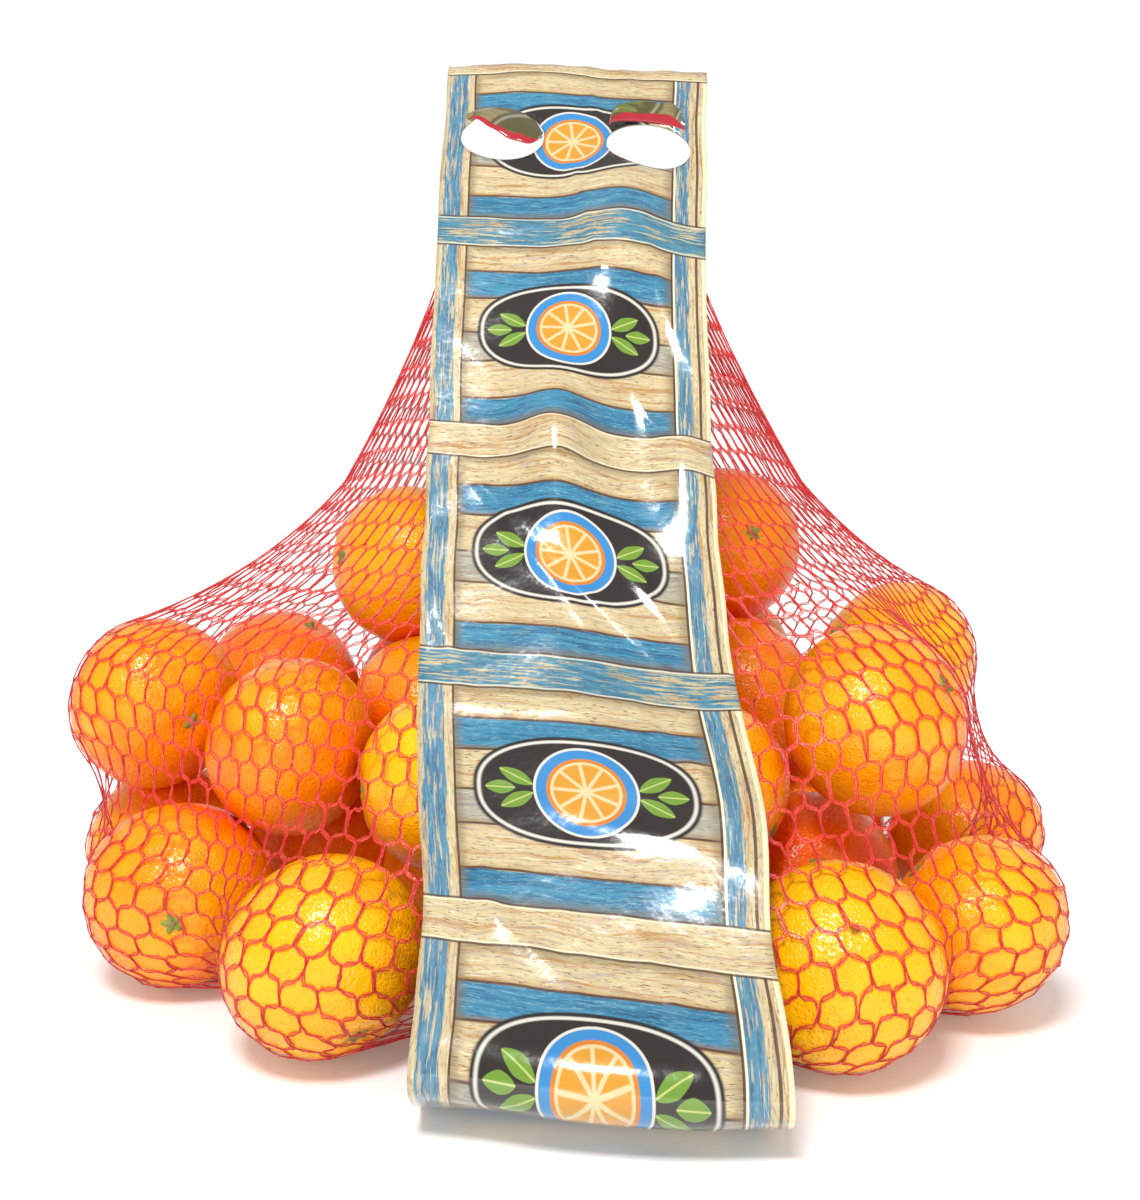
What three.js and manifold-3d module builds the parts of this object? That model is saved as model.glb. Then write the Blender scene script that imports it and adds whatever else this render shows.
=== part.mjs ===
// Net of mandarins: a heap of fruit in a knitted net, inside a loop of printed film.
// The film runs down the front, under the heap and up the back. Its two ends are welded
// together over the gathered top of the net, and two finger holes make them a handle.
//
// Millimetres, X to the viewer's right, Y away from the viewer, Z up.
// The origin lies on the floor, under the middle of the heap.

import * as THREE from 'three';
import { mergeVertices } from 'three/addons/utils/BufferGeometryUtils.js';
import Module from 'manifold-3d';

// Mandarins
const HEAP_LIFT = 2; // film and net under the fruit
const MANDARINS = [ // across, back and diameter, from the floor layer up
  [79, -97, 61], [-73, -90, 61], [2, -79, 60], [129, -60, 59], [-131, -35, 61], [84, -18, 60],
  [-36, -5, 60], [25, 5, 59], [-91, 25, 60], [152, 36, 60], [-153, 28, 60], [94, 55, 61],
  [-27, 57, 61], [34, 68, 60], [-93, 87, 60], [92, 116, 60], [-42, 120, 60], [20, 129, 61],
  [-41, -46, 58], [43, -40, 60], [-96, -18, 61], [99, -43, 62], [-150, 9, 61], [-51, 23, 60],
  [8, 34, 59], [68, 43, 60], [127, 47, 61], [-116, 72, 61], [-57, 88, 60], [6, 96, 59],
  [64, 105, 60],
  [-63, 50, 61], [62, 72, 61],
];

// Film band: its left and right edges at stations along its length
const FILM = 0.8; // thickness
const SECOND_LAYER = 0.6; // what the second layer adds where it is welded to the first
const FILM_GAP = 0.5; // least room between film and net
const BAND_FRONT = [ // left edge, right edge, from the handle's top down to the flat strip
  [[-48, 88, 331], [54, 85, 328]],
  [[-49, 38, 259], [50, 36, 256]],
  [[-49, -3, 185], [49, -6, 178]],
  [[-48, -54, 112], [52, -59, 106]],
  [[-45, -83, 80], [56, -97, 79]],
  [[-41, -116, 51], [55, -126, 48]],
  [[-42, -141, 27], [57, -152, 25]],
  [[-42, -144, 19], [57, -155, 17]],
  [[-42, -138, 11], [57, -149, 10]],
  [[-42, -126, 4], [57, -135, 4]],
  [[-43, -110, FILM / 2], [56, -114, FILM / 2]],
  [[-45, -70, FILM / 2], [55, -70, FILM / 2]],
];
const BAND_BACK = [ // from the flat strip up to where it joins the front layer
  [[-45, -76, FILM / 2], [55, -76, FILM / 2]],
  [[-48, 0, FILM / 2], [52, 0, FILM / 2]],
  [[-50, 128, FILM / 2], [50, 128, FILM / 2]],
  [[-50, 150, 4], [50, 150, 4]],
  [[-50, 163, 18], [50, 163, 18]],
  [[-50, 165, 38], [50, 165, 38]],
  [[-50, 137, 101], [50, 137, 101]],
  [[-50, 105, 157], [50, 105, 157]],
  [[-50, 72, 204], [50, 70, 201]],
];
const WELD_DEPTH = 96; // down the front, from the top edge to the gathered net
const JOIN_DEPTH = 90; // down the front, from the top edge to where the layers part
const WELDED_NET = 1.2; // thickness of the gathered net between the layers
const FOLDS = [ // down from the top, share of the width, height, length and width of each fold
  [82, 0.68, 9, 38, 0.17], [174, 0.45, 12, 30, 0.13], [132, 0.5, 4, 30, 0.2],
  [178, 0.9, 5, 26, 0.09], [250, 0.45, 3, 40, 0.2], [12, 0.35, 3, 22, 0.2], [394, 0.55, 7, 12, 0.4],
];
const FRONT_STEPS = 52; // facets along and across
const BACK_STEPS = 22;
const ACROSS = 12;

// Finger holes and the tongues pushed up out of them
const HOLE = { width: 32, height: 24, sides: 28, places: [[39, 0.225], [43, 0.78]] }; // down, across
const HOLE_CUT = 24; // deep enough for both layers
const TONGUE = { width: 28, height: 9, thickness: 0.8, root: 1.5, lean: 28, sides: 12 }; // root in the film

// Net
const NET_COLUMNS = 52;
const NET_SKIN = 0.8; // strands outside the fruit
const UNDER_ROWS = 7; // rows that turn from the gathered end up to the widest height
const SIDE_ROWS = 12; // level rows round the heap
const NECK_ROWS = 7; // free rows above the fruit
const FRUIT_DETAIL = 3; // how often each edge of a fruit's icosahedron is split
const GAP_DEPTH = 11; // how far the gaps between the fruit lie inside the taut net
const GAP_FOOT = { low: 4, high: 22 }; // the gaps start over these heights
const GAP_TOP = { low: 100, high: 135 }; // and end over these, where the net stands off the fruit
const HEART = { x: 2, y: 15, z: 45, lean: 0.22 }; // middle of the heap, and how it leans back
const HEAP_TOP = 168;
const ROUND = { x: 175, y: 140 }; // how the columns spread round the heap
const NET_PASSES = 700;
const HOOP_SHARE = 0.5; // pull round the net against pull up and down it, on the heap
const NECK_HOOP_SHARE = 0.25;
const WELD_WIDTH = 0.94; // of the film's width
const WELD_GAP = 0.9; // between the gathered net and each layer
const SLACK = 0.3; // how far each pass lets the net sag out under the heap
const BAND_MIDDLE = 4; // across
const BAND_REACH = 58; // half the width over which the films hold the net
const BAND_CURL = 6; // height below which they curl under and let it go
const STRIP_REACH = 62; // half the floor that the net leaves to the film strip
const STRIP_EDGE = 12; // the net comes down to the floor over this width and height
const RAY = { nearest: 5, start: 210, farthest: 230, step: 0.5 }; // places of the net along a ray

const wasm = await Module();
wasm.setup();

// A fruit rests on the floor or on the highest fruit below that it touches.
function heapOfMandarins() {
  const heap = [];
  for (const [x, y, diameter] of MANDARINS) {
    const radius = diameter / 2;
    let z = radius;
    for (const below of heap) {
      const reach = radius + below.radius;
      const apart = Math.hypot(x - below.centre.x, y - below.centre.y);
      if (apart < reach) {
        z = Math.max(z, below.centre.z - HEAP_LIFT + Math.sqrt(reach * reach - apart * apart));
      }
    }
    heap.push({ centre: new THREE.Vector3(x, y, z + HEAP_LIFT), radius });
  }
  return heap;
}

// Rows of the band, evenly spaced along its length, each with its edges and its distance down.
function bandRows(stations, steps) {
  const left = new THREE.CatmullRomCurve3(stations.map((s) => new THREE.Vector3(...s[0])));
  const right = new THREE.CatmullRomCurve3(stations.map((s) => new THREE.Vector3(...s[1])));
  const length = (left.getLength() + right.getLength()) / 2;
  const rows = [];
  for (let step = 0; step <= steps; step++) {
    const share = step / steps;
    const row = { left: left.getPointAt(share), right: right.getPointAt(share), down: share * length };
    row.left.z = Math.max(row.left.z, FILM / 2);
    row.right.z = Math.max(row.right.z, FILM / 2);
    rows.push(row);
  }
  return rows;
}

// How far the folds lift the film at a distance down and a share of the width.
function foldHeight(down, share) {
  let height = 0;
  for (const [at, middle, rise, length, width] of FOLDS) {
    const along = (down - at) / length;
    const across = (share - middle) / width;
    height += rise * Math.exp(-along * along - across * across);
  }
  return height;
}

// The direction out of the band's printed side at one of its rows.
function rowNormal(rows, index) {
  const before = rows[Math.max(index - 1, 0)];
  const after = rows[Math.min(index + 1, rows.length - 1)];
  const along = after.left.clone().add(after.right).sub(before.left).sub(before.right);
  const across = rows[index].right.clone().sub(rows[index].left);
  return along.cross(across).normalize();
}

// A closed body from two grids of points of the same size, one the outside of the other.
function solidBetween(outer, inner) {
  const rows = outer.length;
  const columns = outer[0].length;
  const points = [...outer.flat(), ...inner.flat()];
  const faces = [];
  const quad = (a, b, c, d) => faces.push(a, b, c, a, c, d);
  const front = (r, c) => r * columns + c;
  const back = (r, c) => rows * columns + r * columns + c;
  for (let r = 0; r < rows - 1; r++) {
    for (let c = 0; c < columns - 1; c++) {
      quad(front(r, c), front(r + 1, c), front(r + 1, c + 1), front(r, c + 1));
      quad(back(r, c), back(r, c + 1), back(r + 1, c + 1), back(r + 1, c));
    }
    quad(front(r, 0), back(r, 0), back(r + 1, 0), front(r + 1, 0));
    const last = columns - 1;
    quad(front(r, last), front(r + 1, last), back(r + 1, last), back(r, last));
  }
  for (let c = 0; c < columns - 1; c++) {
    quad(front(0, c), front(0, c + 1), back(0, c + 1), back(0, c));
    const last = rows - 1;
    quad(front(last, c), back(last, c), back(last, c + 1), front(last, c + 1));
  }
  return facetedBody(points, faces);
}

// A geometry from points and faces, turned so that its faces point out.
function facetedBody(points, faces) {
  let volume = 0;
  for (let f = 0; f < faces.length; f += 3) {
    const [a, b, c] = [points[faces[f]], points[faces[f + 1]], points[faces[f + 2]]];
    volume += a.dot(b.clone().cross(c));
  }
  if (volume < 0) faces.reverse();
  const geometry = new THREE.BufferGeometry().setFromPoints(points);
  geometry.setIndex(faces);
  return geometry;
}

function toManifold(geometry) {
  const vertProperties = new Float32Array(geometry.attributes.position.array);
  const triVerts = new Uint32Array(geometry.index.array);
  return new wasm.Manifold(new wasm.Mesh({ numProp: 3, vertProperties, triVerts }));
}

function fromManifold(solid) {
  const { vertProperties, triVerts } = solid.getMesh();
  const geometry = new THREE.BufferGeometry();
  geometry.setAttribute('position', new THREE.BufferAttribute(vertProperties, 3));
  geometry.setIndex(new THREE.BufferAttribute(triVerts, 1));
  return geometry;
}

// A point of the front layer, set off the film's middle towards the viewer.
function frontPoint(rows, down, share, offset) {
  const place = (down / rows[rows.length - 1].down) * (rows.length - 1);
  const index = Math.min(Math.floor(place), rows.length - 2);
  const blend = place - index;
  const left = rows[index].left.clone().lerp(rows[index + 1].left, blend);
  const right = rows[index].right.clone().lerp(rows[index + 1].right, blend);
  const normal = rowNormal(rows, index).lerp(rowNormal(rows, index + 1), blend).normalize();
  return left.lerp(right, share).addScaledVector(normal, foldHeight(down, share) + offset);
}

// The front layer, with the second one welded to its back in the handle.
function frontLayer(rows) {
  const layer = (offsetAt) => rows.map((row) => sharesOf((share) => (
    frontPoint(rows, row.down, share, offsetAt(row.down)))));
  const inside = (down) => -FILM / 2 - (down < JOIN_DEPTH ? SECOND_LAYER : 0);
  return solidBetween(layer(() => FILM / 2), layer(inside));
}

// Middle surface of the layer under and behind the heap, which ends in the handle.
function backSurface(frontRows) {
  const grid = bandRows(BAND_BACK, BACK_STEPS).map((row) => sharesOf((share) => (
    row.left.clone().lerp(row.right, share))));
  for (const down of [JOIN_DEPTH - 1, JOIN_DEPTH - 8]) {
    grid.push(sharesOf((share) => frontPoint(frontRows, down, share, -SECOND_LAYER)));
  }
  return grid;
}

// A row of points across the film.
function sharesOf(pointAt) {
  return Array.from({ length: ACROSS + 1 }, (_, column) => pointAt(column / ACROSS));
}

// A sheet of film from its middle surface.
function sheet(surface) {
  const moved = (side) => surface.map((row, index) => {
    const before = surface[Math.max(index - 1, 0)];
    const after = surface[Math.min(index + 1, surface.length - 1)];
    return row.map((point, column) => {
      const along = after[column].clone().sub(before[column]);
      const across = row[Math.min(column + 1, ACROSS)].clone().sub(row[Math.max(column - 1, 0)]);
      const normal = along.cross(across).normalize();
      return point.clone().addScaledVector(normal, (side * FILM) / 2);
    });
  });
  return solidBetween(moved(1), moved(-1));
}

// Axes of the film round a point of the front layer: across, up along it, and towards the viewer.
function filmFrame(rows, down, share) {
  const centre = frontPoint(rows, down, share, 0);
  const across = frontPoint(rows, down, share + 0.08, 0).sub(frontPoint(rows, down, share - 0.08, 0));
  const up = frontPoint(rows, down - 6, share, 0).sub(frontPoint(rows, down + 6, share, 0));
  const out = across.clone().cross(up).normalize();
  up.copy(out).cross(across).normalize();
  return new THREE.Matrix4().makeBasis(across.normalize(), up, out).setPosition(centre);
}

function fingerHole(rows, down, share) {
  const oval = new THREE.Shape();
  oval.absellipse(0, 0, HOLE.width / 2, HOLE.height / 2, 0, 2 * Math.PI);
  const points = oval.getSpacedPoints(HOLE.sides).slice(0, HOLE.sides);
  const ring = (z) => points.map((p) => new THREE.Vector3(p.x, p.y, z));
  return prism(ring(-HOLE_CUT / 2), ring(HOLE_CUT / 2)).applyMatrix4(filmFrame(rows, down, share));
}

// A closed body between two like rings of points, with a fan of faces at each end.
function prism(lower, upper) {
  const count = lower.length;
  const middle = (ring) => ring.reduce((sum, p) => sum.add(p), new THREE.Vector3()).divideScalar(count);
  const points = [...lower, ...upper, middle(lower), middle(upper)];
  const faces = [];
  for (let i = 0; i < count; i++) {
    const next = (i + 1) % count;
    faces.push(i, next, count + i, next, count + next, count + i);
    faces.push(2 * count, next, i, 2 * count + 1, count + i, count + next);
  }
  return facetedBody(points, faces);
}

// The tongue of a finger hole: half an oval that stands on the hole's upper edge, leaning out.
function tongue(rows, down, share) {
  const rim = [];
  for (let i = 0; i <= TONGUE.sides; i++) {
    const angle = (Math.PI * i) / TONGUE.sides;
    rim.push([(TONGUE.width / 2) * Math.cos(angle), TONGUE.height * Math.sin(angle)]);
  }
  rim.push([-TONGUE.width / 2, -TONGUE.root], [TONGUE.width / 2, -TONGUE.root]);
  const side = (z) => rim.map(([x, y]) => new THREE.Vector3(x, y, z));
  const lean = new THREE.Matrix4().makeRotationX(THREE.MathUtils.degToRad(TONGUE.lean));
  const plate = prism(side(0), side(TONGUE.thickness)).applyMatrix4(lean);
  return plate.applyMatrix4(filmFrame(rows, down - HOLE.height / 2 - TONGUE.root, share));
}

function filmBand(frontRows) {
  let band = toManifold(frontLayer(frontRows)).add(toManifold(sheet(backSurface(frontRows))));
  for (const [down, share] of HOLE.places) {
    band = band.subtract(toManifold(fingerHole(frontRows, down, share)));
    band = band.add(toManifold(tongue(frontRows, down, share)));
  }
  return fromManifold(band);
}

// Where a sheet of film is at a height, as the place of its middle surface along Y.
function filmPlace(surface, x, z) {
  const at = (row) => {
    const share = THREE.MathUtils.clamp((x - row[0].x) / (row[ACROSS].x - row[0].x), 0, 1) * ACROSS;
    const column = Math.min(Math.floor(share), ACROSS - 1);
    return row[column].clone().lerp(row[column + 1], share - column);
  };
  for (let i = 0; i < surface.length - 1; i++) {
    const [one, other] = [at(surface[i]), at(surface[i + 1])];
    if (Math.abs(one.z - other.z) > 0.01 && (z - one.z) * (z - other.z) <= 0) {
      return THREE.MathUtils.lerp(one.y, other.y, (z - one.z) / (other.z - one.z));
    }
  }
  return null;
}

// Keeps a point of the net between the front and back layers of film.
function keepBetween(point, films) {
  if (Math.abs(point.x - BAND_MIDDLE) > BAND_REACH || point.z < BAND_CURL) return;
  const front = filmPlace(films.front, point.x, point.z);
  const back = filmPlace(films.back, point.x, point.z);
  const clear = 2 * FILM + FILM_GAP;
  if (front !== null) point.y = Math.max(point.y, front + clear);
  if (back !== null) point.y = Math.min(point.y, back - clear);
}

// A row of rays out of the heap's middle. The net's points move along them.
function raysAt(index) {
  const side = index - UNDER_ROWS;
  const height = side > 0 ? (side / SIDE_ROWS) * (HEAP_TOP - HEART.z) : 0;
  const origin = new THREE.Vector3(HEART.x, HEART.y + HEART.lean * height, HEART.z + height);
  const dip = side > 0 ? 0 : (Math.PI / 2) * (1 - (index + 1) / (UNDER_ROWS + 1));
  const rays = [];
  for (let column = 0; column < NET_COLUMNS; column++) {
    const turn = (2 * Math.PI * column) / NET_COLUMNS;
    const direction = new THREE.Vector3(ROUND.x * Math.cos(turn), ROUND.y * Math.sin(turn), 0);
    direction.setLength(Math.cos(dip)).setZ(-Math.sin(dip));
    rays.push(new THREE.Ray(origin, direction));
  }
  return rays;
}

// How far out along a ray the fruit, the floor and the films let the net be.
function reachOf(ray, heap, films) {
  const floor = FILM + FILM_GAP;
  let least = RAY.nearest;
  for (const { centre, radius } of heap) {
    const middle = centre.clone().sub(ray.origin).dot(ray.direction);
    const aside = ray.distanceSqToPoint(centre);
    const skin = (radius + NET_SKIN) ** 2;
    if (middle > 0 && aside < skin) least = Math.max(least, middle + Math.sqrt(skin - aside));
  }
  let most = RAY.farthest;
  if (ray.direction.z < 0) most = Math.min(most, (floor - ray.origin.z) / ray.direction.z);
  for (let distance = RAY.nearest; distance < most; distance += RAY.step) {
    const point = ray.at(distance, new THREE.Vector3());
    const place = point.y;
    keepBetween(point, films);
    if (point.y !== place) most = distance - RAY.step;
  }
  return { least: Math.min(least, most), most };
}

// The net, as rows of points from the gathered bottom end to the weld, pulled tight.
function relaxedNet(heap, films, frontRows) {
  const heapRows = UNDER_ROWS + SIDE_ROWS + 1;
  const grid = [];
  const limits = [];
  for (let index = 0; index < heapRows; index++) {
    const rays = raysAt(index);
    limits.push(rays.map((ray) => ({ ray, ...reachOf(ray, heap, films) })));
    grid.push(limits[index].map(({ ray, most }) => ray.at(Math.min(most, RAY.start), new THREE.Vector3())));
  }
  const weld = grid[0].map((_, column) => weldPoint(frontRows, column));
  for (let index = 1; index < NECK_ROWS; index++) {
    grid.push(weld.map((end, column) => grid[heapRows - 1][column].clone().lerp(end, index / NECK_ROWS)));
  }
  grid.push(weld);
  for (let pass = 0; pass < NET_PASSES; pass++) {
    for (let index = 0; index < grid.length - 1; index++) {
      const hoop = index < heapRows ? HOOP_SHARE : NECK_HOOP_SHARE;
      for (let column = 0; column < NET_COLUMNS; column++) {
        const row = grid[index];
        const across = (column + NET_COLUMNS / 2) % NET_COLUMNS; // the far side of the gathered end
        const below = index > 0 ? grid[index - 1][column] : row[across];
        const pulled = below.clone().add(grid[index + 1][column]).multiplyScalar((1 - hoop) / 2);
        pulled.addScaledVector(row[(column + 1) % NET_COLUMNS], hoop / 2);
        pulled.addScaledVector(row[(column + NET_COLUMNS - 1) % NET_COLUMNS], hoop / 2);
        if (index < heapRows) {
          const { ray, least, most } = limits[index][column];
          const slack = index < UNDER_ROWS ? SLACK : 0;
          const distance = pulled.sub(ray.origin).dot(ray.direction) + slack;
          ray.at(THREE.MathUtils.clamp(distance, least, most), row[column]);
        } else {
          keepBetween(row[column].copy(pulled), films);
        }
      }
    }
  }
  settleOnFloor(grid);
  return grid;
}

// The net's top end, pressed flat between the two layers of film.
function weldPoint(frontRows, column) {
  const turn = column / NET_COLUMNS; // from the right, round the back, to the left and the front
  const share = 0.5 + WELD_WIDTH * (2 * Math.abs(turn - 0.5) - 0.5);
  const middle = -(FILM + WELDED_NET) / 2 - WELD_GAP;
  const side = turn === 0 || turn === 0.5 ? 0 : Math.sign(turn - 0.5);
  return frontPoint(frontRows, WELD_DEPTH, share, middle + (side * WELDED_NET) / 2);
}

// Beside the film strip the net lies on the floor itself.
function settleOnFloor(grid) {
  const drop = FILM + FILM_GAP;
  for (const row of grid) {
    for (const point of row) {
      const aside = Math.abs(point.x - BAND_MIDDLE);
      const beside = THREE.MathUtils.smoothstep(aside, STRIP_REACH, STRIP_REACH + STRIP_EDGE);
      const low = 1 - THREE.MathUtils.smoothstep(point.z, drop, STRIP_EDGE);
      point.z -= drop * beside * low;
    }
  }
}

// The air between the fruit, drawn in along the rays from the taut net.
function drawnIn(grid) {
  const { smoothstep } = THREE.MathUtils;
  return grid.map((row, index) => {
    if (index >= UNDER_ROWS + SIDE_ROWS + 1) return row;
    const rays = raysAt(index);
    return row.map((point, column) => {
      const share = smoothstep(point.z, GAP_FOOT.low, GAP_FOOT.high)
        * (1 - smoothstep(point.z, GAP_TOP.low, GAP_TOP.high));
      return point.clone().addScaledVector(rays[column].direction, -GAP_DEPTH * share);
    });
  });
}

// The fruit, out to the strands over it, and what the net holds between the fruit.
function filledNet(heap, films, frontRows) {
  let filled = toManifold(netSolid(drawnIn(relaxedNet(heap, films, frontRows))));
  for (const { centre, radius } of heap) {
    const ball = new THREE.IcosahedronGeometry(radius + NET_SKIN, FRUIT_DETAIL);
    ball.deleteAttribute('normal');
    ball.deleteAttribute('uv');
    filled = filled.add(toManifold(mergeVertices(ball).translate(centre.x, centre.y, centre.z)));
  }
  return fromManifold(filled);
}

function netSolid(grid) {
  const points = grid.flat();
  const faces = [];
  const rows = grid.length - 1;
  const at = (row, column) => row * NET_COLUMNS + (column % NET_COLUMNS);
  for (let row = 0; row < rows; row++) {
    for (let column = 0; column < NET_COLUMNS; column++) {
      const [a, b] = [at(row, column), at(row, column + 1)];
      const [c, d] = [at(row + 1, column + 1), at(row + 1, column)];
      faces.push(a, b, c, a, c, d);
    }
  }
  const middle = (row) => {
    const sum = grid[row].reduce((total, p) => total.add(p), new THREE.Vector3());
    return points.push(sum.divideScalar(NET_COLUMNS)) - 1;
  };
  const [bottom, top] = [middle(0), middle(rows)];
  for (let column = 0; column < NET_COLUMNS; column++) {
    faces.push(bottom, at(0, column + 1), at(0, column));
    faces.push(top, at(rows, column), at(rows, column + 1));
  }
  return facetedBody(points, faces);
}

const frontRows = bandRows(BAND_FRONT, FRONT_STEPS);
const films = {
  front: frontRows.map((row) => sharesOf((share) => row.left.clone().lerp(row.right, share))),
  back: backSurface(frontRows),
};
const fruit = new THREE.MeshStandardMaterial({ color: 0xf07a1c, roughness: 0.45, metalness: 0 });
const film = new THREE.MeshStandardMaterial({ color: 0xc9c2a4, roughness: 0.2, metalness: 0 });

const net = new THREE.Mesh(filledNet(heapOfMandarins(), films, frontRows), fruit);
net.name = 'net_of_mandarins';
const band = new THREE.Mesh(filmBand(frontRows), film);
band.name = 'film_band';

const netOfMandarins = new THREE.Group();
netOfMandarins.add(net, band);

export default netOfMandarins;
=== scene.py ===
"""Net of mandarins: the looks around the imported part.

The shapes are worked out in millimetres, X to the right, Y away from the viewer and Z up,
and are scaled to metres as each mesh is made.
"""
import math

import bmesh
import bpy
import numpy as np
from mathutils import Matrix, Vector
from mathutils.bvhtree import BVHTree
from mathutils.geometry import delaunay_2d_cdt


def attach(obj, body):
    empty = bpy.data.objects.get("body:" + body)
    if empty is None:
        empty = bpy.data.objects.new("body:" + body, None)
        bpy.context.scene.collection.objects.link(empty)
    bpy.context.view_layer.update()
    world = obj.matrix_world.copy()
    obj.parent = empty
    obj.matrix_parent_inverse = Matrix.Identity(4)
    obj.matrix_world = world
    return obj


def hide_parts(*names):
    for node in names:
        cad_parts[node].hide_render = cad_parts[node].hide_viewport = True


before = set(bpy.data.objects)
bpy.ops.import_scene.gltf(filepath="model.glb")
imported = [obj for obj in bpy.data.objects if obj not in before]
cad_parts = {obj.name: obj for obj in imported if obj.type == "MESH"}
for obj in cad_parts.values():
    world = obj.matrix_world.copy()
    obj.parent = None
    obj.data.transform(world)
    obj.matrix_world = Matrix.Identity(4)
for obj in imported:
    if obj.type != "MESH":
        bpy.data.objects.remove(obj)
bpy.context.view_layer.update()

bl_info = {
    "name": "Net of mandarins",
    "version": (1, 0, 0),
    "blender": (4, 5, 0),
    "location": "View3D > Sidebar > Mandarins",
    "description": "Mandarins in a knitted carry net with a printed film band",
    "category": "Add Mesh",
}

MM = 0.001


def ease(share):
    """0 to 1 with a soft start and end."""
    share = np.clip(share, 0, 1)
    return share * share * (3 - 2 * share)


# ---------------------------------------------------------------- the heap

HEAP_LIFT = 2.0  # film and net under the fruit
MANDARINS = (  # across, back and diameter, from the floor layer up
    (79, -97, 61), (-73, -90, 61), (2, -79, 60), (129, -60, 59), (-131, -35, 61), (84, -18, 60),
    (-36, -5, 60), (25, 5, 59), (-91, 25, 60), (152, 36, 60), (-153, 28, 60), (94, 55, 61),
    (-27, 57, 61), (34, 68, 60), (-93, 87, 60), (92, 116, 60), (-42, 120, 60), (20, 129, 61),
    (-41, -46, 58), (43, -40, 60), (-96, -18, 61), (99, -43, 62), (-150, 9, 61), (-51, 23, 60),
    (8, 34, 59), (68, 43, 60), (127, 47, 61), (-116, 72, 61), (-57, 88, 60), (6, 96, 59),
    (64, 105, 60),
    (-63, 50, 61), (62, 72, 61),
)
STEM_ENDS = {  # place in the list: azimuth and elevation of the stem end, where one shows
    1: (-53, -42), 3: (160, 38), 4: (-80, -1), 5: (-96, 28), 21: (-33, 31), 22: (-45, -8),
    26: (-173, 24), 27: (-10, 63), 32: (-71, 15),
}
TONES = {  # place in the list: from 0, deep orange, to 1, yellow orange
    0: 0.8, 1: 0.72, 3: 0.72, 4: 0.5, 5: 0.2, 9: 0.5, 18: 0.95, 19: 0.7, 20: 0.45, 21: 0.55,
    22: 0.5, 25: 0.3, 26: 0.9, 27: 0.3, 31: 0.75, 32: 0.35,
}
PEEL_ROUNDS = 5  # subdivisions of each fruit that can be seen
HIDDEN = {6, 7, 12, 13, 23, 24, 28}  # those in the middle of the heap, which have fewer
HIDDEN_ROUNDS = 4
PAINTED_SHADE_REACH = 10.0  # how far the painted red shade of one fruit reaches over the next, standing in for shade and red light bounced between fruit
SWELLS = ((0.013, 2.2), (0.008, 3.6), (0.004, 6.5))  # height and number of the peel's soft swells
PEEL_COLOURS = {
    "gland": (0.80, 0.10, 0.001), "scar": (0.62, 0.28, 0.02), "flower end": (0.16, 0.07, 0.01),
    # painted deep red shade and bounced light where fruit lie close
    "painted_glow": (0.92, 0.045, 0.0005),
}
STEM_COLOURS = {  # darkest and lightest
    "leaf": ((0.10, 0.20, 0.012), (0.30, 0.42, 0.05)),
    "dry": ((0.13, 0.075, 0.022), (0.42, 0.32, 0.13)),
}
STEM_SIDES = 40  # points round a stem end

# ---------------------------------------------------------------- the film band

FLOOR_FILM = 0.4  # height of the film's middle on the floor
BAND_WIDTH = 100.0
BAND_FRONT = (  # left edge, right edge, from the handle's top down to the flat strip
    ((-48, 88, 331), (54, 85, 328)),
    ((-49, 38, 259), (50, 36, 256)),
    ((-49, -3, 185), (49, -6, 178)),
    ((-48, -54, 112), (52, -59, 106)),
    ((-45, -83, 80), (56, -97, 79)),
    ((-41, -116, 51), (55, -126, 48)),
    ((-42, -141, 27), (57, -152, 25)),
    ((-42, -144, 19), (57, -155, 17)),
    ((-42, -138, 11), (57, -149, 10)),
    ((-42, -126, 4), (57, -135, 4)),
    ((-43, -110, FLOOR_FILM), (56, -114, FLOOR_FILM)),
    ((-45, -70, FLOOR_FILM), (55, -70, FLOOR_FILM)),
)
BAND_BACK = (  # from the flat strip up to where the second layer joins the first
    ((-45, -70, FLOOR_FILM), (55, -70, FLOOR_FILM)),
    ((-48, 0, FLOOR_FILM), (52, 0, FLOOR_FILM)),
    ((-50, 128, FLOOR_FILM), (50, 128, FLOOR_FILM)),
    ((-50, 150, 4), (50, 150, 4)),
    ((-50, 163, 18), (50, 163, 18)),
    ((-50, 165, 38), (50, 165, 38)),
    ((-50, 137, 101), (50, 137, 101)),
    ((-50, 105, 157), (50, 105, 157)),
    ((-50, 72, 204), (50, 70, 201)),
)
WELD_DEPTH = 96.0  # down the front, from the top edge to the gathered net
JOIN_DEPTH = 90.0  # down the front, from the top edge to where the layers part
FOLDS = (  # down from the top, share of the width, height, length and width of each fold
    (82, 0.68, 9, 38, 0.17), (174, 0.45, 12, 30, 0.13), (132, 0.5, 4, 30, 0.2),
    (178, 0.9, 5, 26, 0.09), (250, 0.45, 3, 40, 0.2), (12, 0.35, 3, 22, 0.2), (394, 0.55, 7, 12, 0.4),
)
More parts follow.
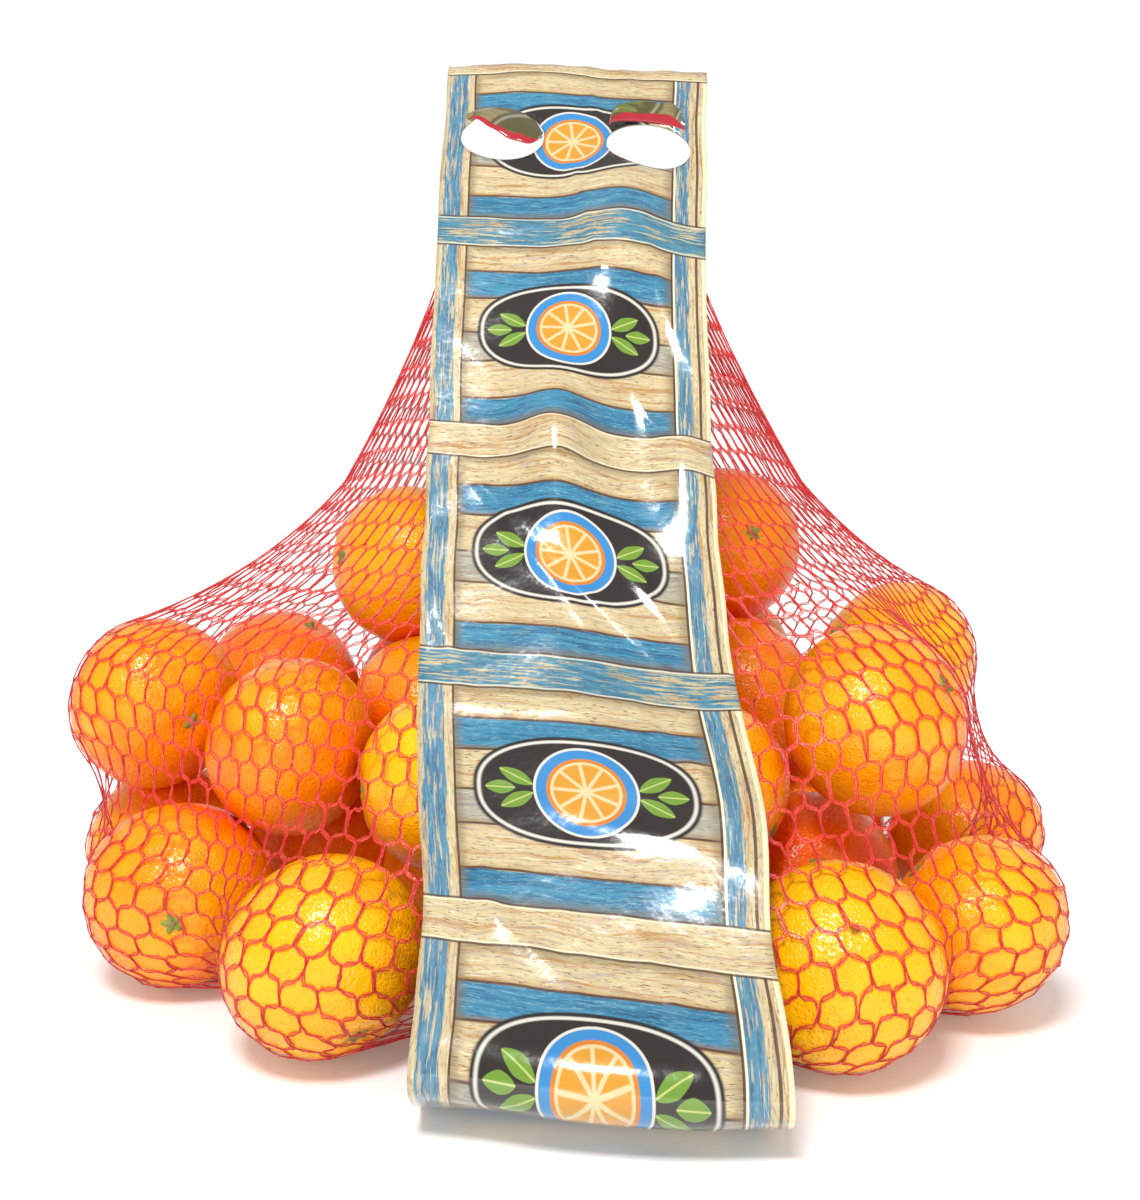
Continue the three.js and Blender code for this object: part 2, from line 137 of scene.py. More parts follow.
CREASES = (  # down, across, turn in degrees, half length, half width and height of each crease
    (226, 42, 60, 26, 2.6, 1.1), (236, 60, 52, 22, 2.0, 0.9), (230, 76, 70, 15, 2.2, 0.9),
    (112, 84, 80, 26, 2.4, 1.2), (104, 58, 15, 18, 2.4, 0.9), (160, 78, 78, 14, 2.0, 0.9),
    (338, 19, 92, 18, 2.4, 1.0), (318, 66, 20, 26, 3.2, 0.8), (62, 52, 84, 20, 2.4, 1.0),
    (20, 56, 88, 16, 1.8, 0.9), (30, 14, 20, 14, 1.8, 0.8), (78, 82, 14, 14, 1.8, 0.9),
    (146, 30, 40, 24, 3.0, 0.9), (196, 22, 62, 18, 2.4, 0.8), (276, 34, 8, 26, 3.0, 0.8),
    (288, 78, 66, 24, 2.6, 0.9), (368, 70, 76, 20, 3.0, 0.8), (356, 30, 50, 22, 3.0, 0.7),
    (262, 99, 90, 22, 7.0, 2.6), (300, 100, 90, 16, 6.0, -2.0), (10, 72, 75, 12, 2.0, 0.8),
    (84, 30, 8, 20, 2.2, 0.9), (88, 88, 172, 12, 1.8, 0.9), (140, 96, 88, 18, 2.6, 1.0),
    (92, 58, 86, 16, 2.0, 0.9), (64, 12, 40, 10, 1.8, 0.8), (250, 8, 84, 20, 2.4, 0.8),
)
HOLES = ((39, 0.225), (43, 0.78))  # down, share of the width
HOLE_SIZE = (32.0, 24.0)
HOLE_SIDES = 56
HOLE_MARGIN = 0.8  # round a hole, without points of the even mesh
LAYER_GAP = 0.35  # between the layers' middles in the handle
BAND_STEP = 2.3  # of the film's mesh
FRONT_STEPS, BACK_STEPS = 260, 240  # points along the edge curves
HANDLE_END = 76.0  # where the mesh round the holes meets the even one
TOP_WAVE = 7.0  # down the handle, over which its cut top edge waves
CURL_FADE = 30.0  # before the flat strip, over which the front's folds fade out
BACK_RIPPLES, BACK_SHIFT = 0.8, 37  # the back's creases: share of the front's height, and shift
BACK_RISE = (190.0, 30.0)  # along the back: where its creases begin and over how far they grow
JOIN_FADE, JOIN_REACH = 20.0, 45.0  # before the join: creases fade out, the front's folds come in
TONGUES = (  # hole, whether the tongue droops, and its fold and free edge from left to right:
    # across, up and out from the hole's middle
    (1, False,
     ((-15.5, 8.5, 0.4), (-13, 10.6, 0.7), (-6, 12.0, 0.9),
      (3, 12.6, 1.0), (9, 12.2, 0.9), (14, 10.2, 0.6)),
     ((-15.5, 10.5, 1.5), (-13.6, 15.6, 3.6), (-6, 18.6, 5.2),
      (3, 19.6, 5.4), (10, 19.4, 5.0), (14, 12.8, 2.4))),
    (0, True,
     ((-14.6, 10.4, 0.5), (-9, 13.4, 1.0), (-1, 13.6, 1.2),
      (6, 11.4, 1.1), (12, 7.0, 0.9), (15.6, 1.0, 0.6)),
     ((-14.2, 8.4, 1.0), (-9.6, 5.4, 2.8), (-3.4, 0.4, 3.4),
      (3.6, -4.2, 3.0), (10.4, -5.6, 2.2), (15.4, -2.0, 1.0))),
)
TONGUE_SIDES = (48, 14)  # faces across and up each tongue
TONGUE_WIDTH, TONGUE_LENGTH = 29, 10  # of the print on a tongue

# ---------------------------------------------------------------- the film's print

PLANKS = (  # of a panel: start as a share of the pitch, and paint, 0 bare and 1 blue
    (0.0, 0), (0.205, 1), (0.335, 0), (0.50, 0.35), (0.635, 0), (0.805, 1),
)
PANEL_SHADES = (11.5, 15.0), (82.5, 87.0)  # across: where the shade beside the side rails fades
SIDE_RAILS = (5.0, 5.9), (94.0, 6.6)  # across: middle and half width
RAIL_PAINT = (4.9, 2.9), (90.4, 2.6)
RAIL_LIGHTS = (87.9, 0.3), (99.3, 0.7)
RAIL_LINES = (11.1, 0.25, 0.2), (87.2, 0.3, 0.2), (96.4, 0.35, 0.25)  # and how softly they end
CROSS_HALF = 6.5  # half width of a cross rail
BADGE_MIDDLE = (49.5, 0.485)  # across, share of the panel
OVALS = (  # half width, half height and colour of the badge, from the outermost in
    (33.0, 19.0, (0.010, 0.006, 0.004)), (31.8, 17.8, (0.60, 0.57, 0.50)),
    (30.8, 16.8, (0.013, 0.007, 0.005)),
)
WHEEL = (  # radius and colour of the citrus wheel's rings, from the outermost in
    (15.4, (0.60, 0.57, 0.50)), (14.6, (0.025, 0.20, 0.46)), (11.6, (0.56, 0.17, 0.008)),
    (10.4, (0.60, 0.50, 0.27)),
)
LEAVES = ((20.2, -4.0, 0.5, 5.4), (20.2, 4.0, -0.5, 5.4), (25.0, 0.0, 0.0, 4.4))  # x, y, tilt, length
PRINT_COLOURS = {
    "grey grain": (0.33, 0.27, 0.28), "pale grain": (0.66, 0.62, 0.45),
    "dark dashes": (0.14, 0.065, 0.022), "light blue": (0.035, 0.20, 0.33),
    "deep blue": (0.007, 0.05, 0.12), "worn blue": (0.24, 0.40, 0.36),
    "plank shade": (0.30, 0.145, 0.04), "panel shade": (0.15, 0.10, 0.035),
    "rail light": (0.92, 0.80, 0.52), "cross light": (0.9, 0.82, 0.6),
    "flesh": (0.57, 0.25, 0.012), "leaf": (0.13, 0.25, 0.02), "leaf vein": (0.42, 0.47, 0.14),
}
REVERSE = (0.62, (0.30, 0.29, 0.17))  # share and colour of the milky plastic over the print
TONGUE_REVERSE = (0.72, (0.095, 0.082, 0.018))

# ---------------------------------------------------------------- the net

WALES = 216  # knitted threads round the net
KNIT_SEED = 11
NET_SKIN = 0.75  # middle of the strands outside the fruit
SLANT = 0.35  # least slope of the fruit that the skin is reckoned with
HEART = Vector((2.0, 15.0, 45.0))  # from here the rays go out on which the net's points slide
HEART_LEAN = 0.22  # back, for each step up from the heart
HEAP_TOP = 168.0
ROUND = (175.0, 140.0)
RAY_START, RAY_END = 5.0, 235.0  # nearest and farthest place of the net on a ray
NET_START = 205.0  # place before it is pulled tight
UNDER_ROWS, SIDE_ROWS, NECK_ROWS = 24, 42, 20
COARSE = 2  # the net is first pulled tight on every other row and column
COARSE_PASSES, FINE_PASSES = 1400, 500
HOOP_SHARE, NECK_HOOP_SHARE = 0.5, 0.25
SLACK = 0.14
BAND_MIDDLE, BAND_REACH, BAND_CURL = 4.0, 58.0, 6.0  # X, half width and lowest Z of the film's hold
WALL_TOP, WALL_STEP = 340.0, 2.0  # height of the tables of the film's place, and their step in X
FILM_CLEAR = 1.6  # between the film's middle and the strands
FILM_FROM = 10.0  # place on a ray from which the film is looked for
FLOOR_NET = 1.2  # the net's height over the film strip
BARE_FLOOR_NET = 0.75  # and over the floor itself
STRIP_REACH, STRIP_EDGE = 62.0, 12.0  # half width of the strip, and how softly the net leaves it
WELD_WIDTH, WELD_OFFSET, WELD_HALF = 0.94, 1.6, 0.6  # share of the band, depth and half thickness
LINK, DIAGONAL = 6.9, 5.3  # lengths of a cell's upright sides and of its slanting ones
FILAMENTS = 2  # along each tape
TAPE = 1.25  # width of a wale's tape where the net isn't gathered
TAPE_LIFT = 0.06  # between tape and peel
LOOP = (  # points of a wale in each row: place, share of the way to its neighbour, spread, tape
    (-0.37, 0.42, 0.36, 0.75), (0.0, 0.47, 0.24, 0.5), (0.37, 0.42, 0.36, 0.75),
    (0.455, 0.22, 0.7, 1.15), (0.545, -0.22, 0.7, 1.15),
)
WOBBLE = (0.06, 0.03)  # of the knit, across and down
SHORTEST = 0.12  # step of a strand that is still made
FULL_SPACING, SLIMMEST = 3.0, 0.95  # wales closer than this are thinner, down to this share
UNDERSIDE = 2.0  # height below which the last filament is left out
NET_COLOURS = {
    # the second colour is that of the painted glints on the filament
    "light": (0.80, 0.03, 0.035), "painted_glint": (0.95, 0.22, 0.15),
    "tape": ((0.86, 0.04, 0.025), (0.92, 0.13, 0.08)),
}
ROW_LIFT = 30.0  # how much higher the rows hang at the front than at the back

# ---------------------------------------------------------------- the stage, in metres

FLOOR_HALF, WALL_AWAY = 4.0, 2.5
FLOOR_COLOURS = ((0.93, 0.93, 0.93), (0.95, 0.95, 0.95))
FLOOR_LIGHT = (1.0, 0.985, 0.96)
DIM_FLOOR, LIT_FLOOR, DIM_SHARE = 0.17, 0.5, 0.2  # from the middle: the floor's own light grows
CAMERA_PLACE, CAMERA_TILT, CAMERA_LENS = (0, -0.490, 0.188), 83, 42
KEY_LAMP = ((-0.12, -0.62, 0.86), (0.0, -0.02, 0.08), (0.26, 0.20))  # place, aim and size
FRONT_LAMP = ((0.05, -1.0, 0.3), (0.0, 0.0, 0.1), (0.9, 0.5))


# ---------------------------------------------------------------- settings

class MandarinSettings(bpy.types.PropertyGroup):
    deep: bpy.props.FloatVectorProperty(
        name="Deep orange", description="Peel of the reddest fruit", subtype="COLOR",
        size=3, min=0, max=1, default=(0.94, 0.155, 0.001))
    bright: bpy.props.FloatVectorProperty(
        name="Yellow orange", description="Peel of the yellowest fruit", subtype="COLOR",
        size=3, min=0, max=1, default=(0.99, 0.48, 0.002))
    unripe: bpy.props.FloatVectorProperty(
        name="Green tinge", description="Peel round some stem ends", subtype="COLOR",
        size=3, min=0, max=1, default=(0.55, 0.42, 0.02))
    pore: bpy.props.FloatProperty(
        name="Pore spacing", description="Distance between the oil glands in the peel",
        unit="LENGTH", default=1.25 * MM, min=0.2 * MM, max=5 * MM)
    seed: bpy.props.IntProperty(
        name="Seed", description="Draw for the fruits' own shapes", default=7, min=0)


class NetSettings(bpy.types.PropertyGroup):
    filament: bpy.props.FloatProperty(
        name="Filament", description="Diameter of one filament of the knitted strands",
        unit="LENGTH", default=0.30 * MM, min=0.05 * MM, max=2 * MM)
    tape_cover: bpy.props.FloatProperty(
        name="Tape cover", description="How much of what lies behind it the flat tape hides",
        subtype="FACTOR", default=0.5, min=0, max=1)
    red: bpy.props.FloatVectorProperty(
        name="Net red", description="Colour of the net's plastic", subtype="COLOR",
        size=3, min=0, max=1, default=(0.50, 0.011, 0.016))


class FilmSettings(bpy.types.PropertyGroup):
    thickness: bpy.props.FloatProperty(
        name="Film thickness", description="Thickness of one layer of film",
        unit="LENGTH", default=0.22 * MM, min=0.02 * MM, max=0.6 * MM)
    cream: bpy.props.FloatVectorProperty(
        name="Cream boards", description="Printed bare wood", subtype="COLOR",
        size=3, min=0, max=1, default=(0.54, 0.43, 0.23))
    tan: bpy.props.FloatVectorProperty(
        name="Tan grain", description="Darker grain of the printed wood", subtype="COLOR",
        size=3, min=0, max=1, default=(0.42, 0.23, 0.07))
    blue: bpy.props.FloatVectorProperty(
        name="Blue boards", description="Printed worn blue paint", subtype="COLOR",
        size=3, min=0, max=1, default=(0.018, 0.135, 0.25))
    grey: bpy.props.FloatVectorProperty(
        name="Grey boards", description="Printed grey blue wood", subtype="COLOR",
        size=3, min=0, max=1, default=(0.10, 0.18, 0.13))
    strip: bpy.props.FloatVectorProperty(
        name="Tongue strips", description="Red strips on the tongues of the finger holes",
        subtype="COLOR", size=3, min=0, max=1, default=(0.36, 0.006, 0.016))
    outline: bpy.props.FloatVectorProperty(
        name="Dark lines", description="Gaps between the printed boards", subtype="COLOR",
        size=3, min=0, max=1, default=(0.055, 0.018, 0.006))
    pitch: bpy.props.FloatProperty(
        name="Panel pitch", description="Distance between the printed cross rails",
        unit="LENGTH", default=88 * MM, min=40 * MM, max=200 * MM)


class StageSettings(bpy.types.PropertyGroup):
    key: bpy.props.FloatProperty(
        name="Key light", description="Power of the soft light from the front and above",
        unit="POWER", default=8.0, min=0, max=500)
    front: bpy.props.FloatProperty(
        name="Front light", description="Power of the broad light from the viewer's side",
        unit="POWER", default=2.8, min=0, max=500)
    fill: bpy.props.FloatProperty(
        name="Fill", description="Strength of the dim white room", default=0.5, min=0, max=5)
    painted_glow: bpy.props.FloatProperty(
        name="Glow", description="Light from the floor itself, as from a lit table",
        default=0.5, min=0, max=5)
    backdrop: bpy.props.FloatProperty(
        name="Backdrop", description="Strength of the white wall behind", default=1.02, min=0, max=5)


# ---------------------------------------------------------------- meshes and materials

def mesh_piece(name, points, faces, materials, face_materials=None, smooth=True):
    """A mesh object from points in millimetres and arrays of faces of one size each."""
    mesh = bpy.data.meshes.new(name)
    faces = [np.asarray(part, np.int32) for part in faces if len(part)]
    corners = np.concatenate([part.ravel() for part in faces])
    sizes = np.concatenate([np.full(len(part), part.shape[1], np.int32) for part in faces])
    starts = np.concatenate([[0], np.cumsum(sizes)[:-1]]).astype(np.int32)
    mesh.vertices.add(len(points))
    mesh.vertices.foreach_set("co", (np.asarray(points, float) * MM).astype(np.float32).ravel())
    mesh.loops.add(len(corners))
    mesh.loops.foreach_set("vertex_index", corners)
    mesh.polygons.add(len(sizes))
    mesh.polygons.foreach_set("loop_start", starts)
    for material in materials:
        mesh.materials.append(material)
    if face_materials is not None:
        mesh.polygons.foreach_set("material_index", np.asarray(face_materials, np.int32))
    mesh.polygons.foreach_set("use_smooth", np.full(len(sizes), smooth))
    mesh.update(calc_edges=True)
    mesh.validate()
    piece = bpy.data.objects.new(name, mesh)
    bpy.context.scene.collection.objects.link(piece)
    return piece


def add_values(piece, name, values):
    """Gives each point of the piece a named value that its finish reads."""
    attribute = piece.data.attributes.new(name, "FLOAT", "POINT")
    attribute.data.foreach_set("value", np.asarray(values, np.float32))


def dress(piece, slot, *nodes):
    """The piece rides on the body and stands for the nodes, which are hidden. The slot is not used."""
    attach(piece, "root")
    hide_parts(*nodes)
    return piece


def piece_named(name):
    """A piece that has to be there already."""
    piece = bpy.data.objects.get(name)
    if piece is None:
        raise RuntimeError(f"make {name} first")
    return piece


class Finish:
    """A material and short calls that add its nodes."""

    def __init__(self, name, **sockets):
        self.material = bpy.data.materials.new(name)
        self.material.use_nodes = True
        self.tree = self.material.node_tree
        self.shader = self.tree.nodes["Principled BSDF"]
        for socket, value in sockets.items():
            self.shader.inputs[socket.replace("_", " ")].default_value = value

    def feed(self, socket, value):
        """Links the value if it is another node's, and otherwise sets it."""
        if isinstance(value, bpy.types.NodeSocket):
            self.tree.links.new(value, socket)
        elif hasattr(value, "__len__") and len(value) == 3 and len(socket.default_value) == 4:
            socket.default_value = (*value, 1)
        else:
            socket.default_value = value

    def add(self, kind, inputs, output=0, **settings):
        """Adds a node with its inputs and settings, and gives one of its outputs."""
        node = self.tree.nodes.new(kind)
        for key, value in settings.items():
            setattr(node, key, value)
        for key, value in inputs.items():
            self.feed(node.inputs[key], value)
        return node.outputs[output]

    def set(self, socket, value):
        """Feeds the shader itself."""
        self.feed(self.shader.inputs[socket], value)

    def math(self, operation, *values):
        return self.add("ShaderNodeMath", dict(enumerate(values)), operation=operation)

    def times(self, one, other):
        return self.math("MULTIPLY", one, other)

    def plus(self, one, other):
        return self.math("ADD", one, other)

    def rest(self, value):
        """What is left of 1."""
        return self.math("SUBTRACT", 1.0, value)

    def spread(self, noise, width):
        """A noise value, 0 to 1, spread evenly round 0 over the width."""
        return self.math("MULTIPLY_ADD", noise, width, -width / 2)

    def mix(self, share, one, other):
        """One colour at share 0, the other at 1."""
        inputs = {0: share, 6: one, 7: other}
        return self.add("ShaderNodeMix", inputs, 2, data_type="RGBA")

    def value(self, name):
        """A value that the mesh's points carry."""
        return self.add("ShaderNodeAttribute", {}, "Fac", attribute_name=name)

    def place(self):
        return self.add("ShaderNodeTexCoord", {}, "Object")

    def vector(self, x, y, z=0.0):
        return self.add("ShaderNodeCombineXYZ", {0: x, 1: y, 2: z})

    def noise(self, vector, scale, detail=2.0, roughness=0.5):
        inputs = {"Vector": vector, "Scale": scale, "Detail": detail, "Roughness": roughness}
        return self.add("ShaderNodeTexNoise", inputs)

    def step(self, value, low, high):
        """0 below low, 1 above high, smooth between."""
        inputs = {"Value": value, "From Min": low, "From Max": high}
        return self.add("ShaderNodeMapRange", inputs, interpolation_type="SMOOTHSTEP")

    def line(self, value, middle, half, soft):
        """1 within half of middle, fading to 0 over soft."""
        away = self.math("ABSOLUTE", self.math("SUBTRACT", value, middle))
        return self.rest(self.step(away, half, half + soft))

    def ramp(self, value, stops, interpolation="LINEAR"):
        """A share read from stops of position and share."""
        node = self.tree.nodes.new("ShaderNodeValToRGB")
        node.color_ramp.interpolation = interpolation
        elements = node.color_ramp.elements
        while len(elements) < len(stops):
            elements.new(0.5)
        for element, (position, _) in zip(elements, stops):
            element.position = position
        for element, (_, share) in zip(elements, stops):
            element.color = (share, share, share, 1)
        self.feed(node.inputs[0], value)
        return node.outputs[0]

    def bump(self, height, distance, strength):
        inputs = {"Height": height, "Distance": distance, "Strength": strength}
        self.set("Normal", self.add("ShaderNodeBump", inputs))


# ---------------------------------------------------------------- mandarins

def heap_of_mandarins():
    """Middle and radius of each fruit. One rests on the floor or on what it touches below."""
    heap = []
    for x, y, diameter in MANDARINS:
        radius = diameter / 2
        z = radius
        for below, below_radius in heap:
            reach = radius + below_radius
            apart = math.hypot(x - below[0], y - below[1])
            if apart < reach:
                z = max(z, below[2] - HEAP_LIFT + math.sqrt(reach**2 - apart**2))
        heap.append((np.array((x, y, z + HEAP_LIFT)), radius))
    return heap


def unit_sphere(rounds):
    """Points and triangles of an even sphere."""
    ball = bmesh.new()
    bmesh.ops.create_icosphere(ball, subdivisions=rounds, radius=1)
    points = np.array([v.co for v in ball.verts])
    faces = np.array([[v.index for v in f.verts] for f in ball.faces])
    ball.free()
    return points / np.linalg.norm(points, axis=1)[:, None], faces


def axes_round(direction, turn):
    """Three axes, with the third along the direction."""
    third = np.array(direction) / np.linalg.norm(direction)
    side = np.cross(third, (0, 0, 1) if abs(third[2]) < 0.9 else (0, 1, 0))
    side /= np.linalg.norm(side)
    other = np.cross(third, side)
    return np.array([
        side * math.cos(turn) + other * math.sin(turn),
        other * math.cos(turn) - side * math.sin(turn),
        third,
    ])


def stem_directions(rng):
    """Where each fruit's stem end points: as seen, or drawn at random."""
    directions = []
    for index in range(len(MANDARINS)):
        drawn = rng.normal(size=3)
        if index in STEM_ENDS:
            azimuth, elevation = np.radians(STEM_ENDS[index])
            drawn = np.array((
                math.cos(elevation) * math.cos(azimuth),
                math.cos(elevation) * math.sin(azimuth),
                math.sin(elevation),
            ))
        directions.append(axes_round(drawn, rng.uniform(0, 2 * math.pi)))
    return directions


def peel_reach(directions, rng):
    """How far out the peel is along each direction, as a share of the radius, stem end at +Z."""
    x, y, z = directions.T
    polar = np.arccos(np.clip(z, -1, 1))
    turn = np.arctan2(y, x)
    flat = rng.uniform(0.86, 0.95)  # height as a share of the width
    reach = 1.005 / np.sqrt(1 - z**2 + (z / flat) ** 2)
    for size, waves in SWELLS:
        for _ in range(3):
            along = rng.normal(size=3)
            along *= waves / np.linalg.norm(along)
            reach += size * np.sin(directions @ along + rng.uniform(0, 2 * math.pi)) / 1.7
    lobes = rng.integers(3, 6)  # faint ones round the middle
    reach += 0.007 * np.cos(lobes * turn + rng.uniform(0, 6)) * np.sin(polar) ** 2
    shoulder = np.exp(-((polar - 0.42) / 0.24) ** 2)  # raised and pleated round the stem end
    pleats = np.cos(rng.integers(8, 12) * turn + 1.3 * np.sin(3 * turn))
    reach += shoulder * (0.012 + 0.006 * pleats * np.exp(-((polar - 0.3) / 0.2) ** 2))
    reach -= rng.uniform(0.05, 0.085) * np.exp(-((polar / 0.2) ** 2))  # dimple of the stem end
    under = math.pi - polar
    reach -= rng.uniform(0.02, 0.04) * np.exp(-((under / 0.17) ** 2))  # and of the flower end
    reach -= 0.012 * np.exp(-((under / 0.05) ** 2))
    return reach


def nearness(points, heap, index):
    """How near the other fruit are to each point of one, 1 for each that it touches."""
    return sum(
        np.exp(-np.maximum(np.linalg.norm(points - middle, axis=1) - radius, 0) / PAINTED_SHADE_REACH)
        for other, (middle, radius) in enumerate(heap) if other != index)


def heap_peels(seed):
    """The mandarins' points, faces and peel values, and a frame for each stem end."""
    rng = np.random.default_rng(seed)
    fine, coarse = unit_sphere(PEEL_ROUNDS), unit_sphere(HIDDEN_ROUNDS)
    parts, all_faces, values, stems = [], [], [], []
    axes = stem_directions(rng)
    heap = heap_of_mandarins()
    count = 0
    for index, (middle, radius) in enumerate(heap):
        sphere, faces = coarse if index in HIDDEN else fine
        all_faces.append(faces + count)
        count += len(sphere)
        reach = peel_reach(sphere, rng)
        parts.append(middle + (sphere * reach[:, None] * radius) @ axes[index])
        tone = TONES.get(index, rng.uniform(0.2, 0.75))
        green = rng.uniform(0.0, 0.8) if rng.random() < 0.5 else 0.0
        polar = np.degrees(np.arccos(np.clip(sphere[:, 2], -1, 1)))
        same = np.ones(len(sphere))
        # how near other fruit are, which sets the peel's painted red shade
        near = nearness(parts[-1], heap, index)
        values.append(np.stack([tone * same, polar, green * same, index * same, near], 1))
        pole = reach[np.argmax(sphere[:, 2])] * radius
        stems.append((middle, axes[index], pole))
    return np.concatenate(parts), np.concatenate(all_faces), np.concatenate(values), stems


def peel_finish(settings):
    """Waxy peel with pores and scars, greener round the stem end, and with painted deep red shade and
    bounced light beside other fruit.
    """
    peel = Finish("mandarin peel", Roughness=0.18, Specular_IOR_Level=0.42)
    place = peel.place()
    fruit = peel.value("fruit")
    shift = peel.vector(fruit, fruit, fruit)
    own = peel.add("ShaderNodeVectorMath", {0: place, 1: shift}, operation="ADD")
    tone = peel.plus(peel.value("tone"), peel.spread(peel.noise(own, 55.0, 3.0), 0.7))
    colour = peel.mix(peel.step(tone, 0.0, 1.0), tuple(settings.deep), tuple(settings.bright))
    polar = peel.value("polar")
    near_stem = peel.rest(peel.step(polar, 6.0, 42.0))
    green = peel.times(near_stem, peel.times(peel.value("green"), 0.6))
    green = peel.times(green, peel.step(peel.noise(own, 90.0, 2.0), 0.3, 0.7))
    colour = peel.mix(green, colour, tuple(settings.unripe))
    pores = {"Vector": own, "Scale": 1.0 / settings.pore, "Randomness": 0.85}
    gland = peel.add("ShaderNodeTexVoronoi", pores, "Distance", feature="F1")
    dot = peel.rest(peel.step(gland, 0.05, 0.5))
    colour = peel.mix(peel.times(dot, 0.06), colour, PEEL_COLOURS["gland"])
    scar = peel.times(peel.step(peel.noise(own, 210.0, 4.0, 0.65), 0.70, 0.76), 0.4)
    colour = peel.mix(scar, colour, PEEL_COLOURS["scar"])
    end = peel.step(polar, 174.5, 177.5)
    colour = peel.mix(peel.times(end, 0.8), colour, PEEL_COLOURS["flower end"])
    # painted shade: the peel turns deep red where other fruit are near, standing in for shade and light
    # bounced between fruit
    painted_glow = peel.times(peel.step(peel.value("near"), 0.12, 1.3), 0.92)
    peel.set("Base Color", peel.mix(painted_glow, colour, PEEL_COLOURS["painted_glow"]))
    dimples = peel.noise(own, 330.0, 2.0)
    ripple = peel.plus(dimples, peel.times(peel.noise(own, 900.0, 2.0), 0.45))
    height = peel.math("SUBTRACT", ripple, peel.times(dot, 0.35))
    peel.bump(height, 0.5 * MM, 1.0)
    return peel.material


class SCENE_OT_mandarins(bpy.types.Operator):
    """Make the heap of mandarins, each with its own shape and tone"""
    bl_idname = "mandarin_net.mandarins"
    bl_label = "Mandarins"

    def execute(self, context):
        settings = context.scene.mandarin_settings
        points, faces, values, _ = heap_peels(settings.seed)
        piece = mesh_piece("mandarins", points, [faces], [peel_finish(settings)])
        for column, name in enumerate(("tone", "polar", "green", "fruit", "near")):
            add_values(piece, name, values[:, column])
        dress(piece, "mandarin", "net_of_mandarins")
        return {"FINISHED"}


# ---------------------------------------------------------------- stem ends

def stem_end(rng):
    """A calyx with a stub of stem, standing on z 0: points, faces and how green each point is."""
    around = STEM_SIDES
    turn = np.linspace(0, 2 * math.pi, around, endpoint=False)
    lobes = 5
    star = 0.5 + 0.5 * np.cos(lobes * turn + 0.25 * np.sin(2 * turn + rng.uniform(0, 6)))
    size = rng.uniform(0.7, 1.0)
    stub = rng.uniform(0.5, 2.0) if rng.random() < 0.75 else 0.15
    rows = (  # radius, share of the star in it, height, greenness
        (2.3, 1.5, -0.55, 0.9), (2.45, 1.75, -0.05, 1.0), (2.2, 1.5, 0.45, 1.0), (1.7, 0.6, 0.62, 0.9),
        (1.25, 0.1, 0.66, 0.7), (1.1, 0.0, 0.72 + stub * 0.5, 0.4), (1.05, 0.0, 0.7 + stub, 0.2),
        (0.8, 0.0, 0.85 + stub, 0.05), (0.35, 0.0, 0.72 + stub, 0.0),
    )
    points, green = [], []
    for radius, share, height, leaf in rows:
        wave = 0.12 * np.sin(3 * turn + height * 4) + rng.normal(scale=0.05, size=around)
        out = (radius + share * star + wave) * size
        lift = height + 0.35 * share * star * (height > -0.3)
        lift = np.broadcast_to(lift, around)
        points.append(np.stack([out * np.cos(turn), out * np.sin(turn), lift], 1))
        green.append(np.full(around, leaf))
    top = np.array([[0, 0, 0.66 + stub]])
    one = np.arange(around)
    two = (one + 1) % around
    steps = np.arange(len(rows))[:, None] * around
    low, high = steps[:-1], steps[1:]
    quads = np.stack([low + one, low + two, high + two, high + one], 2).reshape(-1, 4)
    last = steps[-1]
    fan = np.stack([last + one, last + two, np.full(around, len(rows) * around)], 1)
    return np.concatenate(points + [top]), quads, fan, np.concatenate(green + [[0.0]])


def stem_finish():
    """Dry brown, or green where the stem end is fresh."""
    stem = Finish("dry stem end", Roughness=0.7)
    place = stem.place()
    fresh = stem.times(stem.value("leaf"), stem.value("fresh"))
    leaf = stem.mix(stem.noise(place, 700.0, 3.0), *STEM_COLOURS["leaf"])
    dry = stem.mix(stem.noise(place, 900.0, 3.0), *STEM_COLOURS["dry"])
    stem.set("Base Color", stem.mix(fresh, dry, leaf))
    stem.bump(stem.noise(place, 2200.0, 3.0), 0.3 * MM, 0.8)
    return stem.material


class SCENE_OT_stem_ends(bpy.types.Operator):
    """Set a green or dry calyx in the stem end of each mandarin"""
    bl_idname = "mandarin_net.stem_ends"
    bl_label = "Stem ends"

    def execute(self, context):
        settings = context.scene.mandarin_settings
        _, _, _, stems = heap_peels(settings.seed)
        rng = np.random.default_rng(settings.seed + 1)
        points, quads, fans, green, fresh = [], [], [], [], []
        count = 0
        for middle, axes, pole in stems:
            star, sides, fan, leaf = stem_end(rng)
            points.append(middle + (star + (0, 0, pole)) @ axes)
            quads.append(sides + count)
            fans.append(fan + count)
            green.append(leaf)
            fresh.append(np.full(len(star), rng.uniform(0.15, 1.0)))
            count += len(star)
        faces = [np.concatenate(quads), np.concatenate(fans)]
        piece = mesh_piece("stem_ends", np.concatenate(points), faces, [stem_finish()])
        add_values(piece, "leaf", np.concatenate(green))
        add_values(piece, "fresh", np.concatenate(fresh))
        dress(piece, "stem", "net_of_mandarins")
        return {"FINISHED"}


# ---------------------------------------------------------------- film band

